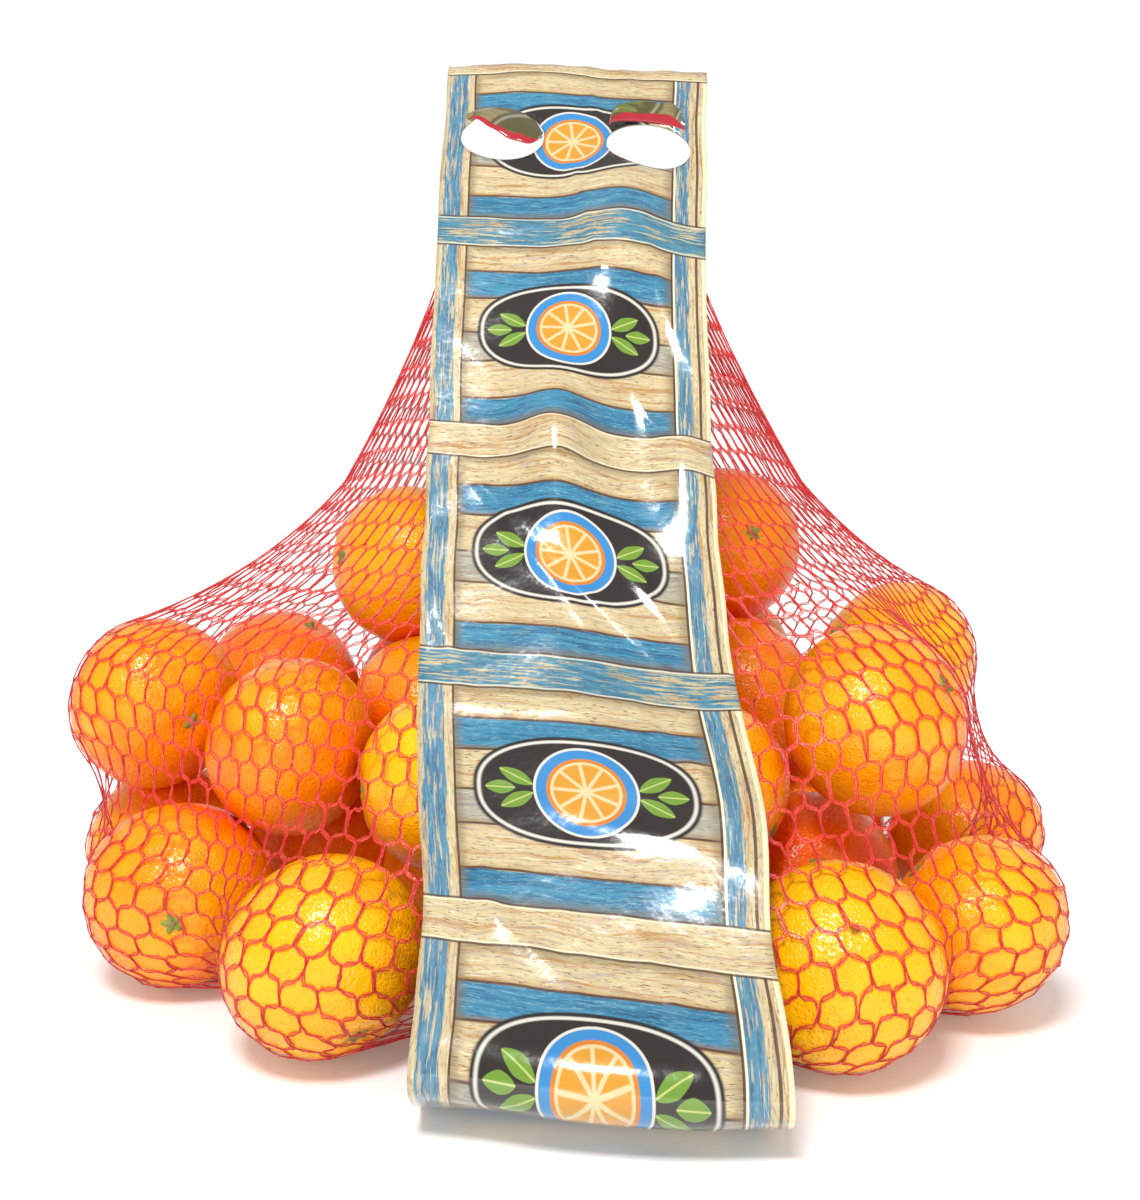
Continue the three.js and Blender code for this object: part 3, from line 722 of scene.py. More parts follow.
def spline(points, count):
    """Even points on the centripetal curve through the given ones, and its length."""
    p = np.array(points, float)
    p = np.vstack([2 * p[0] - p[1], p, 2 * p[-1] - p[-2]])
    share = np.linspace(0, 1, 60, endpoint=False)[:, None]
    parts = []
    for i in range(1, len(p) - 2):
        a, b, c, d = p[i - 1:i + 3]
        first, middle, last = (np.linalg.norm(v) ** 0.5 for v in (b - a, c - b, d - c))
        leave = ((b - a) / first - (c - a) / (first + middle) + (c - b) / middle) * middle
        enter = ((c - b) / middle - (d - b) / (middle + last) + (d - c) / last) * middle
        square = -3 * b + 3 * c - 2 * leave - enter
        cube = 2 * b - 2 * c + leave + enter
        parts.append(b + share * leave + share**2 * square + share**3 * cube)
    path = np.vstack(parts + [p[-2:-1]])
    gone = np.concatenate([[0], np.cumsum(np.linalg.norm(np.diff(path, axis=0), axis=1))])
    at = np.linspace(0, gone[-1], count)
    return np.stack([np.interp(at, gone, path[:, k]) for k in range(3)], 1), gone[-1]


class FilmPart:
    """A stretch of the band between two edge curves, as a surface by distance and share."""

    def __init__(self, stations, count):
        self.left, left_length = spline([s[0] for s in stations], count)
        self.right, right_length = spline([s[1] for s in stations], count)
        for edge in (self.left, self.right):
            edge[:, 2] = np.maximum(edge[:, 2], FLOOR_FILM)
        self.length = (left_length + right_length) / 2
        along = np.gradient(self.left + self.right, axis=0)
        normal = np.cross(along, self.right - self.left)
        self.normal = normal / np.linalg.norm(normal, axis=1)[:, None]

    def at(self, down, share, offset):
        """Points by distance down, share from left to right and offset out."""
        place = np.clip(down / self.length, 0, 1) * (len(self.left) - 1)
        index = np.minimum(place.astype(int), len(self.left) - 2)
        blend = (place - index)[:, None]

        def mixed(rows):
            return rows[index] * (1 - blend) + rows[index + 1] * blend

        share = np.asarray(share)[:, None]
        point = mixed(self.left) * (1 - share) + mixed(self.right) * share
        normal = mixed(self.normal)
        normal /= np.linalg.norm(normal, axis=1)[:, None]
        return point + normal * np.asarray(offset)[:, None]


def fold_height(down, share):
    """How far the folds lift the film."""
    height = np.zeros_like(down)
    for at, middle, rise, length, width in FOLDS:
        height += rise * np.exp(-((down - at) / length) ** 2 - ((share - middle) / width) ** 2)
    return height


def crease_height(down, across):
    """Sharp little creases and soft ripples on top of the folds."""
    height = np.zeros_like(down)
    for at, middle, turn, length, width, rise in CREASES:
        angle = math.radians(turn)
        x, y = across - middle, down - at
        along = x * math.cos(angle) + y * math.sin(angle)
        aside = y * math.cos(angle) - x * math.sin(angle) + 2.5 * np.sin(along / length * 1.7)
        height += rise * np.exp(-np.abs(aside / width) ** 1.6 - (along / length) ** 2)
    ripple = np.sin(down / 9 + 2 * np.sin(across / 23)) * np.sin(across / 13 + down / 31)
    height += 0.22 * ripple + 0.12 * np.sin(down / 4.3 + across / 7 + 2 * np.sin(down / 17))
    return height


class Band:
    """The whole loop of film: down the front, under, up the back and up behind the handle."""

    def __init__(self):
        self.front = FilmPart(BAND_FRONT, FRONT_STEPS)
        join = [self.front.at(np.array([JOIN_DEPTH]), [share], [-LAYER_GAP])[0] for share in (0.0, 1.0)]
        self.back = FilmPart(BAND_BACK + (join,), BACK_STEPS)
        self.turn = self.front.length
        self.join = self.turn + self.back.length
        self.length = self.join + JOIN_DEPTH

    def front_at(self, down, share, offset):
        """Points of the front layer, with its folds, creases and uneven edges."""
        wave = 0.55 + 0.3 * np.sin(19 * share + 1) + 0.25 * np.sin(43 * share)
        down = down + wave * np.clip(1 - down / TOP_WAVE, 0, 1)
        share = share + (share - 0.5) * 0.006 * np.sin(down / 9 + 2 * np.sin(down / 31))
        lift = fold_height(down, share) + crease_height(down, share * BAND_WIDTH)
        lift *= np.clip((self.front.length - down) / CURL_FADE, 0, 1)
        return self.front.at(down, share, lift + offset)

    def at(self, down, share, offset):
        """Points by distance from the front's top edge, share of the width and offset out."""
        points = np.empty((len(down), 3))
        front = down <= self.turn
        points[front] = self.front_at(down[front], share[front], offset[front])
        handle = down > self.join
        inner = -LAYER_GAP - offset[handle]
        points[handle] = self.front_at(self.length - down[handle], share[handle], inner)
        back = ~front & ~handle
        gone, across = down[back] - self.turn, share[back]
        left = self.back.length - gone
        ripple = BACK_RIPPLES * crease_height(gone + BACK_SHIFT, (1 - across) * BAND_WIDTH)
        ripple *= np.clip((gone - BACK_RISE[0]) / BACK_RISE[1], 0, 1) * np.clip(left / JOIN_FADE, 0, 1)
        points[back] = self.back.at(gone, across, offset[back] + ripple)
        ends, inner = np.full(len(gone), JOIN_DEPTH), np.full(len(gone), -LAYER_GAP)
        folds = self.front_at(ends, across, inner) - self.front.at(ends, across, inner)
        points[back] += folds * ease(1 - left / JOIN_REACH)[:, None]
        return points


def hole_ring(down, share):
    """Points (down, share) round a finger hole."""
    turn = np.linspace(0, 2 * math.pi, HOLE_SIDES, endpoint=False)
    return np.stack([
        down + HOLE_SIZE[1] / 2 * np.sin(turn),
        share + HOLE_SIZE[0] / 2 / BAND_WIDTH * np.cos(turn),
    ], 1)


def handle_mesh(columns):
    """Points (down, share) and triangles of the handle's film round its finger holes."""
    rows = int(round(HANDLE_END / BAND_STEP)) + 1
    downs = np.linspace(0, HANDLE_END, rows)
    shares = np.linspace(0, 1, columns)
    grid = np.stack(np.meshgrid(downs, shares, indexing="ij"), -1).reshape(-1, 2)
    keep = np.ones(len(grid), bool)
    rings, edges = [], []
    for down, share in HOLES:
        x = (grid[:, 1] - share) * BAND_WIDTH / (HOLE_SIZE[0] / 2 + HOLE_MARGIN)
        y = (grid[:, 0] - down) / (HOLE_SIZE[1] / 2 + HOLE_MARGIN)
        keep &= x * x + y * y > 1
        rings.append(hole_ring(down, share))
    grid = grid[keep]
    start = len(grid)
    for _ in rings:
        edges += [(start + i, start + (i + 1) % HOLE_SIDES) for i in range(HOLE_SIDES)]
        start += HOLE_SIDES
    points = np.concatenate([grid] + rings)
    flat = [Vector((p[0], p[1] * BAND_WIDTH)) for p in points]
    made, _, triangles, *_ = delaunay_2d_cdt(flat, edges, [], 0, 1e-5)
    made = np.array(made)
    triangles = np.array([t for t in triangles if len(t) == 3])
    middle = made[triangles].mean(1)
    solid = np.ones(len(triangles), bool)
    for down, share in HOLES:
        x = (middle[:, 1] - share * BAND_WIDTH) / (HOLE_SIZE[0] / 2)
        y = (middle[:, 0] - down) / (HOLE_SIZE[1] / 2)
        solid &= x * x + y * y > 0.97  # a little inside the ring's straight sides
    made[:, 1] /= BAND_WIDTH
    return made, triangles[solid]


def band_mesh(band):
    """Points (down, share) and triangles of the whole loop."""
    columns = int(round(BAND_WIDTH / BAND_STEP)) + 1
    patch, patch_faces = handle_mesh(columns)
    rows = int(round((band.length - 2 * HANDLE_END) / BAND_STEP)) + 1
    downs = np.linspace(HANDLE_END, band.length - HANDLE_END, rows)
    shares = np.linspace(0, 1, columns)
    grid = np.stack(np.meshgrid(downs, shares, indexing="ij"), -1).reshape(-1, 2)
    a = (np.arange(rows - 1)[:, None] * columns + np.arange(columns - 1)).ravel()
    even = np.concatenate([
        np.stack([a, a + columns, a + columns + 1], 1), np.stack([a, a + columns + 1, a + 1], 1)])
    behind = patch.copy()
    behind[:, 0] = band.length - patch[:, 0]
    points = np.concatenate([patch, grid, behind])
    behind_faces = patch_faces[:, ::-1] + len(patch) + len(grid)
    faces = np.concatenate([patch_faces, even + len(patch), behind_faces])
    keys = np.round(points * (1000, 1000 * BAND_WIDTH)).astype(np.int64)  # alike to a thousandth
    _, first, merged = np.unique(keys, axis=0, return_index=True, return_inverse=True)
    faces = merged.reshape(-1)[faces]
    points = points[first]
    sides = points[faces]
    turned = np.cross(sides[:, 1] - sides[:, 0], sides[:, 2] - sides[:, 0]) < 0
    faces[turned] = faces[turned][:, ::-1]
    return points, faces


def rim_quads(faces, count):
    """Quads that join the open edges of a sheet's faces to those of its other side."""
    edges = np.concatenate([
        np.stack([faces[:, i], np.roll(faces, -1, 1)[:, i]], 1) for i in range(faces.shape[1])])
    pairs = {tuple(edge) for edge in edges.tolist()}
    rim = np.array([(a, b) for a, b in edges.tolist() if (b, a) not in pairs])
    return np.stack([rim[:, 1], rim[:, 0], rim[:, 0] + count, rim[:, 1] + count], 1)


def thick_sheet(name, points, faces, place, thickness, materials):
    """A thin closed body over a flat mesh: printed side, reverse and the cut edges."""
    down, share = points.T
    half = np.full(len(points), thickness / 2)
    outer, inner = place(down, share, half), place(down, share, -half)
    count = len(points)
    sides = rim_quads(faces, count)
    triangles = np.concatenate([faces, faces[:, ::-1] + count])
    which = np.concatenate([np.zeros(len(faces)), np.ones(len(faces)), np.ones(len(sides))])
    piece = mesh_piece(name, np.concatenate([outer, inner]), [triangles, sides], materials, which)
    add_values(piece, "down", np.concatenate([down, down]))
    add_values(piece, "across", np.concatenate([share, share]) * BAND_WIDTH)
    return piece


def grain(film, along, aside, seed, stretch=16.0):
    """Long streaks of wood grain, finer ones and short dashes, each 0 to 1."""
    bends = film.noise(film.vector(along, aside, seed), 0.05, 2.0)
    wavy = film.math("MULTIPLY_ADD", bends, 5.0, aside)
    long = film.vector(film.math("DIVIDE", along, stretch), wavy, seed)
    coarse = film.noise(long, 0.55, 3.0, 0.55)
    fine = film.noise(long, 1.7, 4.0, 0.7)
    short = film.vector(film.math("DIVIDE", along, stretch * 0.45), wavy, film.plus(seed, 4.0))
    dashes = film.noise(short, 2.6, 2.0, 0.6)
    return coarse, fine, dashes


def board_colour(film, settings, along, aside, seed, paint):
    """Wood with worn paint on it. Paint is 0 on bare boards, 1 on painted ones."""
    coarse, fine, dashes = grain(film, along, aside, seed)
    bare = film.mix(film.step(coarse, 0.50, 0.66), tuple(settings.cream), tuple(settings.tan))
    for streaks, low, high, share, colour in (
        (fine, 0.54, 0.60, 0.6, "grey grain"), (fine, 0.43, 0.36, 0.85, "pale grain"),
        (dashes, 0.60, 0.64, 0.75, "dark dashes"),
    ):
        shown = film.times(film.step(streaks, low, high), share)
        bare = film.mix(shown, bare, PRINT_COLOURS[colour])
    blue = film.mix(film.step(coarse, 0.38, 0.60), tuple(settings.blue), PRINT_COLOURS["light blue"])
    blue = film.mix(film.times(film.step(fine, 0.55, 0.62), 0.85), blue, PRINT_COLOURS["deep blue"])
    worn = film.math("MAXIMUM", film.step(fine, 0.41, 0.36), film.step(dashes, 0.61, 0.64))
    blue = film.mix(film.times(worn, 0.5), blue, PRINT_COLOURS["worn blue"])
    return film.mix(paint, bare, blue)


def strongest(film, shares):
    """The greatest of some shares."""
    most = shares[0]
    for share in shares[1:]:
        most = film.math("MAXIMUM", most, share)
    return most


def boards(film, settings, across, down):
    """The printed crate: planks across each panel, side rails and cross rails."""
    pitch = settings.pitch / MM
    panel = film.math("DIVIDE", film.plus(down, 1.0), pitch)
    number = film.math("FLOOR", panel)
    place = film.math("FRACT", panel)
    paint = film.ramp(place, PLANKS, "CONSTANT")
    seed = film.ramp(place, [(at, i * 0.13) for i, (at, _) in enumerate(PLANKS)], "CONSTANT")
    seed = film.plus(film.times(seed, 90.0), film.times(number, 7.3))
    inside = board_colour(film, settings, across, down, seed, paint)
    warp = film.spread(film.noise(film.vector(across, number, 3.0), 0.06, 1.0), 0.016)
    edge = film.plus(place, warp)
    edges = [at for at, _ in PLANKS[1:]]
    lines = strongest(film, [film.line(edge, at, 0.0028, 0.004) for at in edges])
    shade = film.ramp(place, shade_of_planks(edges))
    inside = film.mix(film.times(shade, 0.7), inside, PRINT_COLOURS["plank shade"])
    inside = film.mix(film.times(lines, 0.9), inside, tuple(settings.outline))
    from_rail = film.math("PINGPONG", place, 0.5)
    left, right = PANEL_SHADES
    shade = strongest(film, [
        film.rest(film.step(film.times(from_rail, pitch), CROSS_HALF + 0.5, CROSS_HALF + 4.0)),
        film.rest(film.step(across, *left)), film.step(across, *right),
    ])
    inside = film.mix(film.times(shade, 0.6), inside, PRINT_COLOURS["panel shade"])
    inside = badge(film, inside, across, place, pitch)
    rails = side_rails(film, settings, inside, across, down)
    return cross_rails(film, settings, rails, across, down, from_rail, panel, pitch)


def shade_of_planks(edges):
    """Ramp stops for the tan shade on the planks' lower edges."""
    stops = [(0.0, 0.0)]
    for edge in edges:
        stops += [(edge - 0.022, 0.0), (edge, 1.0), (edge + 0.004, 0.0)]
    return stops


def side_rails(film, settings, colour, across, down):
    """Upright boards along both edges, blue with a bare inner edge and dark lines."""
    frayed = film.noise(film.vector(across, film.math("DIVIDE", down, 9.0), 5.0), 0.9, 2.0)
    wobble = film.plus(across, film.spread(frayed, 3.0))
    paint = strongest(film, [film.line(wobble, *rail, 0.8) for rail in RAIL_PAINT])
    streaks = film.noise(film.vector(across, film.math("DIVIDE", down, 14.0), 8.0), 1.1, 3.0, 0.6)
    bare = film.times(film.step(streaks, 0.54, 0.58), 0.75)
    paint = film.times(paint, film.rest(bare))
    upright = board_colour(film, settings, down, across, 31.0, film.times(paint, 0.93))
    on = strongest(film, [film.line(across, *rail, 0.15) for rail in SIDE_RAILS])
    colour = film.mix(on, colour, upright)
    light = strongest(film, [film.line(across, *line, 0.2) for line in RAIL_LIGHTS])
    colour = film.mix(film.times(light, 0.8), colour, PRINT_COLOURS["rail light"])
    dark = strongest(film, [film.line(across, *line) for line in RAIL_LINES])
    return film.mix(film.times(dark, 0.9), colour, tuple(settings.outline))


def cross_rails(film, settings, colour, across, down, from_rail, panel, pitch):
    """A board across the band at each panel's end, bare and blue in turn."""
    number = film.math("ROUND", panel)
    odd = film.math("PINGPONG", number, 1.0)
    patchy = film.step(film.noise(film.vector(across, down, 2.0), 0.045, 2.0), 0.38, 0.62)
    long = film.vector(film.math("DIVIDE", across, 15.0), down, number)
    streaks = film.noise(long, 1.0, 4.0, 0.65)
    bare = film.math("MULTIPLY_ADD", patchy, 0.10, 0.47)
    worn = film.step(streaks, bare, film.plus(bare, 0.05))
    paint = film.times(odd, film.rest(worn))
    seed = film.math("MULTIPLY_ADD", number, 11.7, 70.0)
    board = board_colour(film, settings, across, down, seed, paint)
    board = film.mix(film.times(odd, 0.22), board, tuple(settings.grey))
    away = film.times(from_rail, pitch)
    warp = film.spread(film.noise(film.vector(across, number, 9.0), 0.07, 1.0), 1.4)
    away = film.plus(away, warp)
    colour = film.mix(film.rest(film.step(away, CROSS_HALF, CROSS_HALF + 0.2)), colour, board)
    edge = film.line(away, CROSS_HALF + 0.2, 0.25, 0.35)
    colour = film.mix(film.times(edge, 0.85), colour, tuple(settings.outline))
    light = film.line(away, CROSS_HALF - 0.4, 0.15, 0.3)
    return film.mix(film.times(light, 0.5), colour, PRINT_COLOURS["cross light"])


def powers(film, one, half_one, other, half_other, power):
    """1 on the edge of an oval or lens of these half sizes, less inside."""
    one = film.math("POWER", film.math("ABSOLUTE", film.math("DIVIDE", one, half_one)), power)
    other = film.math("POWER", film.math("ABSOLUTE", film.math("DIVIDE", other, half_other)), power)
    return film.plus(one, other)


def badge(film, colour, across, place, pitch):
    """A plain dark plaque in each panel, with a citrus wheel between two sprigs of leaves."""
    x = film.math("SUBTRACT", across, BADGE_MIDDLE[0])
    y = film.times(film.math("SUBTRACT", place, BADGE_MIDDLE[1]), pitch)

    def inside(value, edge=1.0, soft=0.04):
        return film.rest(film.step(value, edge - soft, edge + soft))

    for half_width, half_height, ring in OVALS:
        oval = powers(film, x, half_width, y, half_height, 2.4)
        colour = film.mix(inside(oval), colour, ring)
    radius = film.math("SQRT", film.plus(film.times(x, x), film.times(y, y)))
    turn = film.math("ARCTAN2", y, x)
    for edge, ring in WHEEL:
        colour = film.mix(inside(radius, edge, 0.15), colour, ring)
    wedge = film.times(film.math("PINGPONG", film.plus(turn, 0.3), math.pi / 9), radius)
    flesh = film.times(film.step(wedge, 0.35, 0.75), inside(radius, 9.5, 0.3))
    flesh = film.times(flesh, film.step(radius, 1.0, 1.6))
    colour = film.mix(flesh, colour, PRINT_COLOURS["flesh"])
    side = film.math("ABSOLUTE", x)
    for at_x, at_y, tilt, length in LEAVES:
        dx = film.math("SUBTRACT", side, at_x)
        dy = film.math("SUBTRACT", y, at_y)
        cosine, sine = math.cos(tilt), math.sin(tilt)
        along = film.plus(film.times(dx, cosine), film.times(dy, -sine))
        aside = film.plus(film.times(dx, sine), film.times(dy, cosine))
        lens = powers(film, along, length, aside, 2.4, 1.5)
        vein = film.line(aside, 0.0, 0.16, 0.12)
        leaf = film.mix(vein, PRINT_COLOURS["leaf"], PRINT_COLOURS["leaf vein"])
        colour = film.mix(inside(lens, 1.0, 0.06), colour, leaf)
    return colour


def film_finish(settings, side):
    """Glossy film. On the reverse and the tongues the print shows dimly through milky plastic."""
    film = Finish(f"film {side}", Roughness=0.2, Coat_Weight=0.9, Coat_Roughness=0.07, IOR=1.5)
    across, down = film.value("across"), film.value("down")
    colour = boards(film, settings, across, down)
    if side == "reverse":
        colour = film.mix(REVERSE[0], colour, REVERSE[1])
    if side == "tongue":
        colour = film.mix(TONGUE_REVERSE[0], colour, TONGUE_REVERSE[1])
        colour = film.mix(film.step(film.value("strip"), 0.46, 0.54), colour, tuple(settings.strip))
    film.set("Base Color", colour)
    place = film.place()
    soft = film.noise(place, 160.0, 2.0)
    drawn = film.add("ShaderNodeVectorMath", {0: place, 1: (1.0, 0.6, 1.0)}, operation="MULTIPLY")
    crinkle = film.noise(drawn, 420.0, 3.0)
    film.bump(film.plus(soft, film.times(crinkle, 0.3)), 0.7 * MM, 0.35)
    return film.material


class SCENE_OT_film_band(bpy.types.Operator):
    """Make the loop of printed film with its finger holes"""
    bl_idname = "mandarin_net.film_band"
    bl_label = "Film band"

    def execute(self, context):
        settings = context.scene.film_settings
        band = Band()
        points, faces = band_mesh(band)
        materials = [film_finish(settings, "front"), film_finish(settings, "reverse")]
        thickness = settings.thickness / MM
        piece = thick_sheet("film_band_sheet", points, faces, band.at, thickness, materials)
        dress(piece, "film", "film_band")
        return {"FINISHED"}


# ---------------------------------------------------------------- tongues of the finger holes

def film_axes(band, down, share):
    """A point of the front layer and the film's axes there: across, up along it and out of it."""
    near = np.array([[0, 0], [0, -0.08], [0, 0.08], [6, 0], [-6, 0]]) + (down, share)
    place, left, right, low, high = band.front_at(near[:, 0], near[:, 1], np.zeros(len(near)))
    across = (right - left) / np.linalg.norm(right - left)
    out = np.cross(across, high - low)
    out /= np.linalg.norm(out)
    return place, np.array([across, np.cross(out, across), out])


def tongue_surface(band, hole, fold, free):
    """A function from shares across and up a tongue to places, bulging a little outwards."""
    place, axes = film_axes(band, *HOLES[hole])
    fold, free = spline(fold, 60)[0], spline(free, 60)[0]

    def at(across, up):
        step = np.clip(across, 0, 1) * (len(fold) - 1)
        index = np.minimum(step.astype(int), len(fold) - 2)
        blend = (step - index)[:, None]
        low = fold[index] * (1 - blend) + fold[index + 1] * blend
        high = free[index] * (1 - blend) + free[index + 1] * blend
        local = low + (high - low) * up[:, None]
        local[:, 2] += 0.9 * np.sin(math.pi * up) + 0.25 * np.sin(across * 23 + up * 4) * up
        return place + local @ axes

    return at


def tongue_mesh(band, hole, drooping, fold, free, thickness):
    """Points, faces and values of one tongue, as a thin closed sheet."""
    surface = tongue_surface(band, hole, fold, free)
    columns, rows = TONGUE_SIDES
    across, up = (part.ravel() for part in np.meshgrid(
        np.linspace(0, 1, columns + 1), np.linspace(0, 1, rows + 1), indexing="ij"))
    small = 1e-3
    middle = surface(across, up)
    normal = np.cross(surface(across + small, up) - surface(across - small, up),
                      surface(across, up + small) - surface(across, up - small))
    normal /= np.maximum(np.linalg.norm(normal, axis=1), 1e-9)[:, None]
    if drooping:  # its free edge lies below its fold
        normal = -normal
    half = normal * thickness / 2
    points = np.concatenate([middle + half, middle - half])
    a = (np.arange(columns)[:, None] * (rows + 1) + np.arange(rows)).ravel()
    quads = np.stack([a, a + rows + 1, a + rows + 2, a + 1], 1)
    if drooping:
        quads = quads[:, ::-1]
    count = len(middle)
    faces = np.concatenate([quads, quads[:, ::-1] + count, rim_quads(quads, count)])
    wave = 0.035 * np.sin(across * 11) + 0.012 * np.sin(across * 29)
    ends = np.clip(np.minimum(across, 1 - across) * 9, 0, 1)
    if drooping:  # the strip runs along the free edge, else along the fold
        strip = np.clip((up - 0.80 + wave) * 8 * ends + 0.5, 0, 1) * ends
    else:
        strip = np.clip((0.36 - up + wave) * 8 + 0.5, 0, 1)
    down = HOLES[hole][0] - HOLE_SIZE[1] / 2 + up * TONGUE_LENGTH
    print_across = HOLES[hole][1] * BAND_WIDTH + (across - 0.5) * TONGUE_WIDTH
    values = np.stack([down, print_across, strip], 1)
    return points, faces, np.concatenate([values, values])


class SCENE_OT_hole_tongues(bpy.types.Operator):
    """Make the tongues of film that are pushed out of the finger holes"""
    bl_idname = "mandarin_net.hole_tongues"
    bl_label = "Tongues"

    def execute(self, context):
        settings = context.scene.film_settings
        band = Band()
        points, faces, values, count = [], [], [], 0
        for tongue in TONGUES:
            places, quads, print_values = tongue_mesh(band, *tongue, settings.thickness / MM)
            points.append(places)
            faces.append(quads + count)
            values.append(print_values)
            count += len(places)
        material = film_finish(settings, "tongue")
        piece = mesh_piece("hole_tongues", np.concatenate(points), [np.concatenate(faces)], [material])
        for column, name in enumerate(("down", "across", "strip")):
            add_values(piece, name, np.concatenate(values)[:, column])
        dress(piece, "film", "film_band")
        return {"FINISHED"}


# ---------------------------------------------------------------- net

def film_walls(band):
    """Where the front and the back layer stand, as tables of Y by X and Z."""
    xs = np.arange(BAND_MIDDLE - BAND_REACH, BAND_MIDDLE + BAND_REACH + 1, WALL_STEP)
    zs = np.arange(0.0, WALL_TOP, 1.0)
    walls = []
    for part in (band.front, band.back):
        table = np.empty((len(xs), len(zs)))
        for i, x in enumerate(xs):
            share = np.clip((x - part.left[:, 0]) / (part.right[:, 0] - part.left[:, 0]), 0, 1)[:, None]
            path = part.left * (1 - share) + part.right * share
            order = np.argsort(path[:, 2], kind="stable")
            table[i] = np.interp(zs, path[order, 2], path[order, 1])
        walls.append(table)
    return xs, zs, walls


def wall_limits(points, walls):
    """Lowest and highest Y that the film lets each point have."""
    xs, zs, (front, back) = walls
    x, z = points[..., 0], points[..., 2]
    held = (np.abs(x - BAND_MIDDLE) < BAND_REACH) & (z > BAND_CURL)
    i = np.clip((x - xs[0]) / (xs[1] - xs[0]), 0, len(xs) - 1.001)
    k = np.clip(z, 0, len(zs) - 1.001)
    a, c = i.astype(int), k.astype(int)
    u, v = i - a, k - c

    def look(table):
        return (table[a, c] * (1 - u) * (1 - v) + table[a + 1, c] * u * (1 - v)
                + table[a, c + 1] * (1 - u) * v + table[a + 1, c + 1] * u * v)

    low = np.where(held, look(front) + FILM_CLEAR, -1e9)
    high = np.where(held, look(back) - FILM_CLEAR, 1e9)
    return low, high


def net_rays(columns, under, side):
    """Origins and directions of the rays that the net's points slide along, row by row."""
    index = np.arange(under + side + 1) - under
    height = np.where(index > 0, index / side * (HEAP_TOP - HEART.z), 0.0)
    dip = np.where(index > 0, 0.0, math.pi / 2 * (1 - (index + under + 1) / (under + 1)))
    turn = 2 * math.pi * np.arange(columns) / columns
    flat = np.stack([ROUND[0] * np.cos(turn), ROUND[1] * np.sin(turn), np.zeros(columns)], 1)
    flat /= np.linalg.norm(flat, axis=1)[:, None]
    heart_x = np.full(len(index), HEART.x)
    origins = np.stack([heart_x, HEART.y + HEART_LEAN * height, HEART.z + height], 1)
    directions = flat[None] * np.cos(dip)[:, None, None]
    directions[..., 2] = -np.sin(dip)[:, None]
    return np.repeat(origins[:, None], columns, 1), directions


def ray_limits(origins, directions, fruit, walls):
    """Nearest and farthest place of the net on each ray."""
    least = np.full(origins.shape[:2], RAY_START)
    for row in range(origins.shape[0]):
        for column in range(origins.shape[1]):
            outwards = Vector(directions[row, column])
            start = Vector((origins[row, column] + directions[row, column] * RAY_END) * MM)
            place, normal, _, gone = fruit.ray_cast(start, -outwards, (RAY_END - RAY_START) * MM)
            if place is not None:
                slope = max(SLANT, abs(normal.dot(outwards)))
                least[row, column] = RAY_END - gone / MM + NET_SKIN / slope
    most = np.full(origins.shape[:2], RAY_END)
    down = directions[..., 2] < -1e-6
    to_floor = (FLOOR_NET - origins[..., 2][down]) / directions[..., 2][down]
    most[down] = np.minimum(RAY_END, to_floor)
    steps = np.arange(FILM_FROM, RAY_END, 1.0)
    reached = origins[..., None, :] + directions[..., None, :] * steps[:, None]
    low, high = wall_limits(reached, walls)
    outside = (reached[..., 1] < low) | (reached[..., 1] > high)
    first = np.where(outside.any(-1), steps[np.argmax(outside, -1)] - 1.0, RAY_END)
    most = np.minimum(most, first)
    return np.minimum(least, most), most


def weld_ring(band, columns):
    """The net's top end, pressed flat between the layers."""
    turn = np.arange(columns) / columns
    share = 0.5 + WELD_WIDTH * (2 * np.abs(turn - 0.5) - 0.5)
    side = np.sign(turn - 0.5) * (turn > 0)
    return band.front.at(np.full(columns, WELD_DEPTH), share, -WELD_OFFSET + side * WELD_HALF)


def pull_tight(grid, rays, limits, walls, passes):
    """Moves every point towards the middle of its neighbours, held by fruit, floor and film."""
    origins, directions = rays
    least, most = limits
    heap_rows = len(origins)
    hoop = np.where(np.arange(len(grid) - 1) < heap_rows, HOOP_SHARE, NECK_HOOP_SHARE)[:, None, None]
    under = heap_rows * UNDER_ROWS // (UNDER_ROWS + SIDE_ROWS)
    slack = np.where(np.arange(heap_rows) < under, SLACK, 0.0)[:, None]
    half = grid.shape[1] // 2
    for _ in range(passes):
        below = np.concatenate([np.roll(grid[:1], half, 1), grid[:-2]])
        above = grid[1:]
        level = grid[:-1]
        pulled = (below + above) * (1 - hoop) / 2
        pulled += (np.roll(level, 1, 1) + np.roll(level, -1, 1)) * hoop / 2
        reach = ((pulled[:heap_rows] - origins) * directions).sum(-1) + slack
        reach = np.clip(reach, least, most)[..., None]
        neck = pulled[heap_rows:]
        low, high = wall_limits(neck, walls)
        neck[..., 1] = np.clip(neck[..., 1], low, high)
        grid = np.concatenate([origins + directions * reach, neck, grid[-1:]])
    return grid


def finer(grid, columns, rows):
    """The grid spread to more rows and columns."""
    row = np.linspace(0, len(grid) - 1, rows)
    a = np.minimum(row.astype(int), len(grid) - 2)
    mixed = grid[a] + (grid[a + 1] - grid[a]) * (row - a)[:, None, None]
    column = np.arange(columns) * grid.shape[1] / columns
    c = column.astype(int)
    next_one = (c + 1) % grid.shape[1]
    return mixed[:, c] + (mixed[:, next_one] - mixed[:, c]) * (column - c)[None, :, None]


def settle_on_floor(points):
    """Beside the film strip the net lies on the floor itself."""
    aside = np.abs(points[..., 0] - BAND_MIDDLE)
    low = 1 - ease((points[..., 2] - FLOOR_NET) / (STRIP_EDGE - FLOOR_NET))
    points[..., 2] -= (FLOOR_NET - BARE_FLOOR_NET) * ease((aside - STRIP_REACH) / STRIP_EDGE) * low


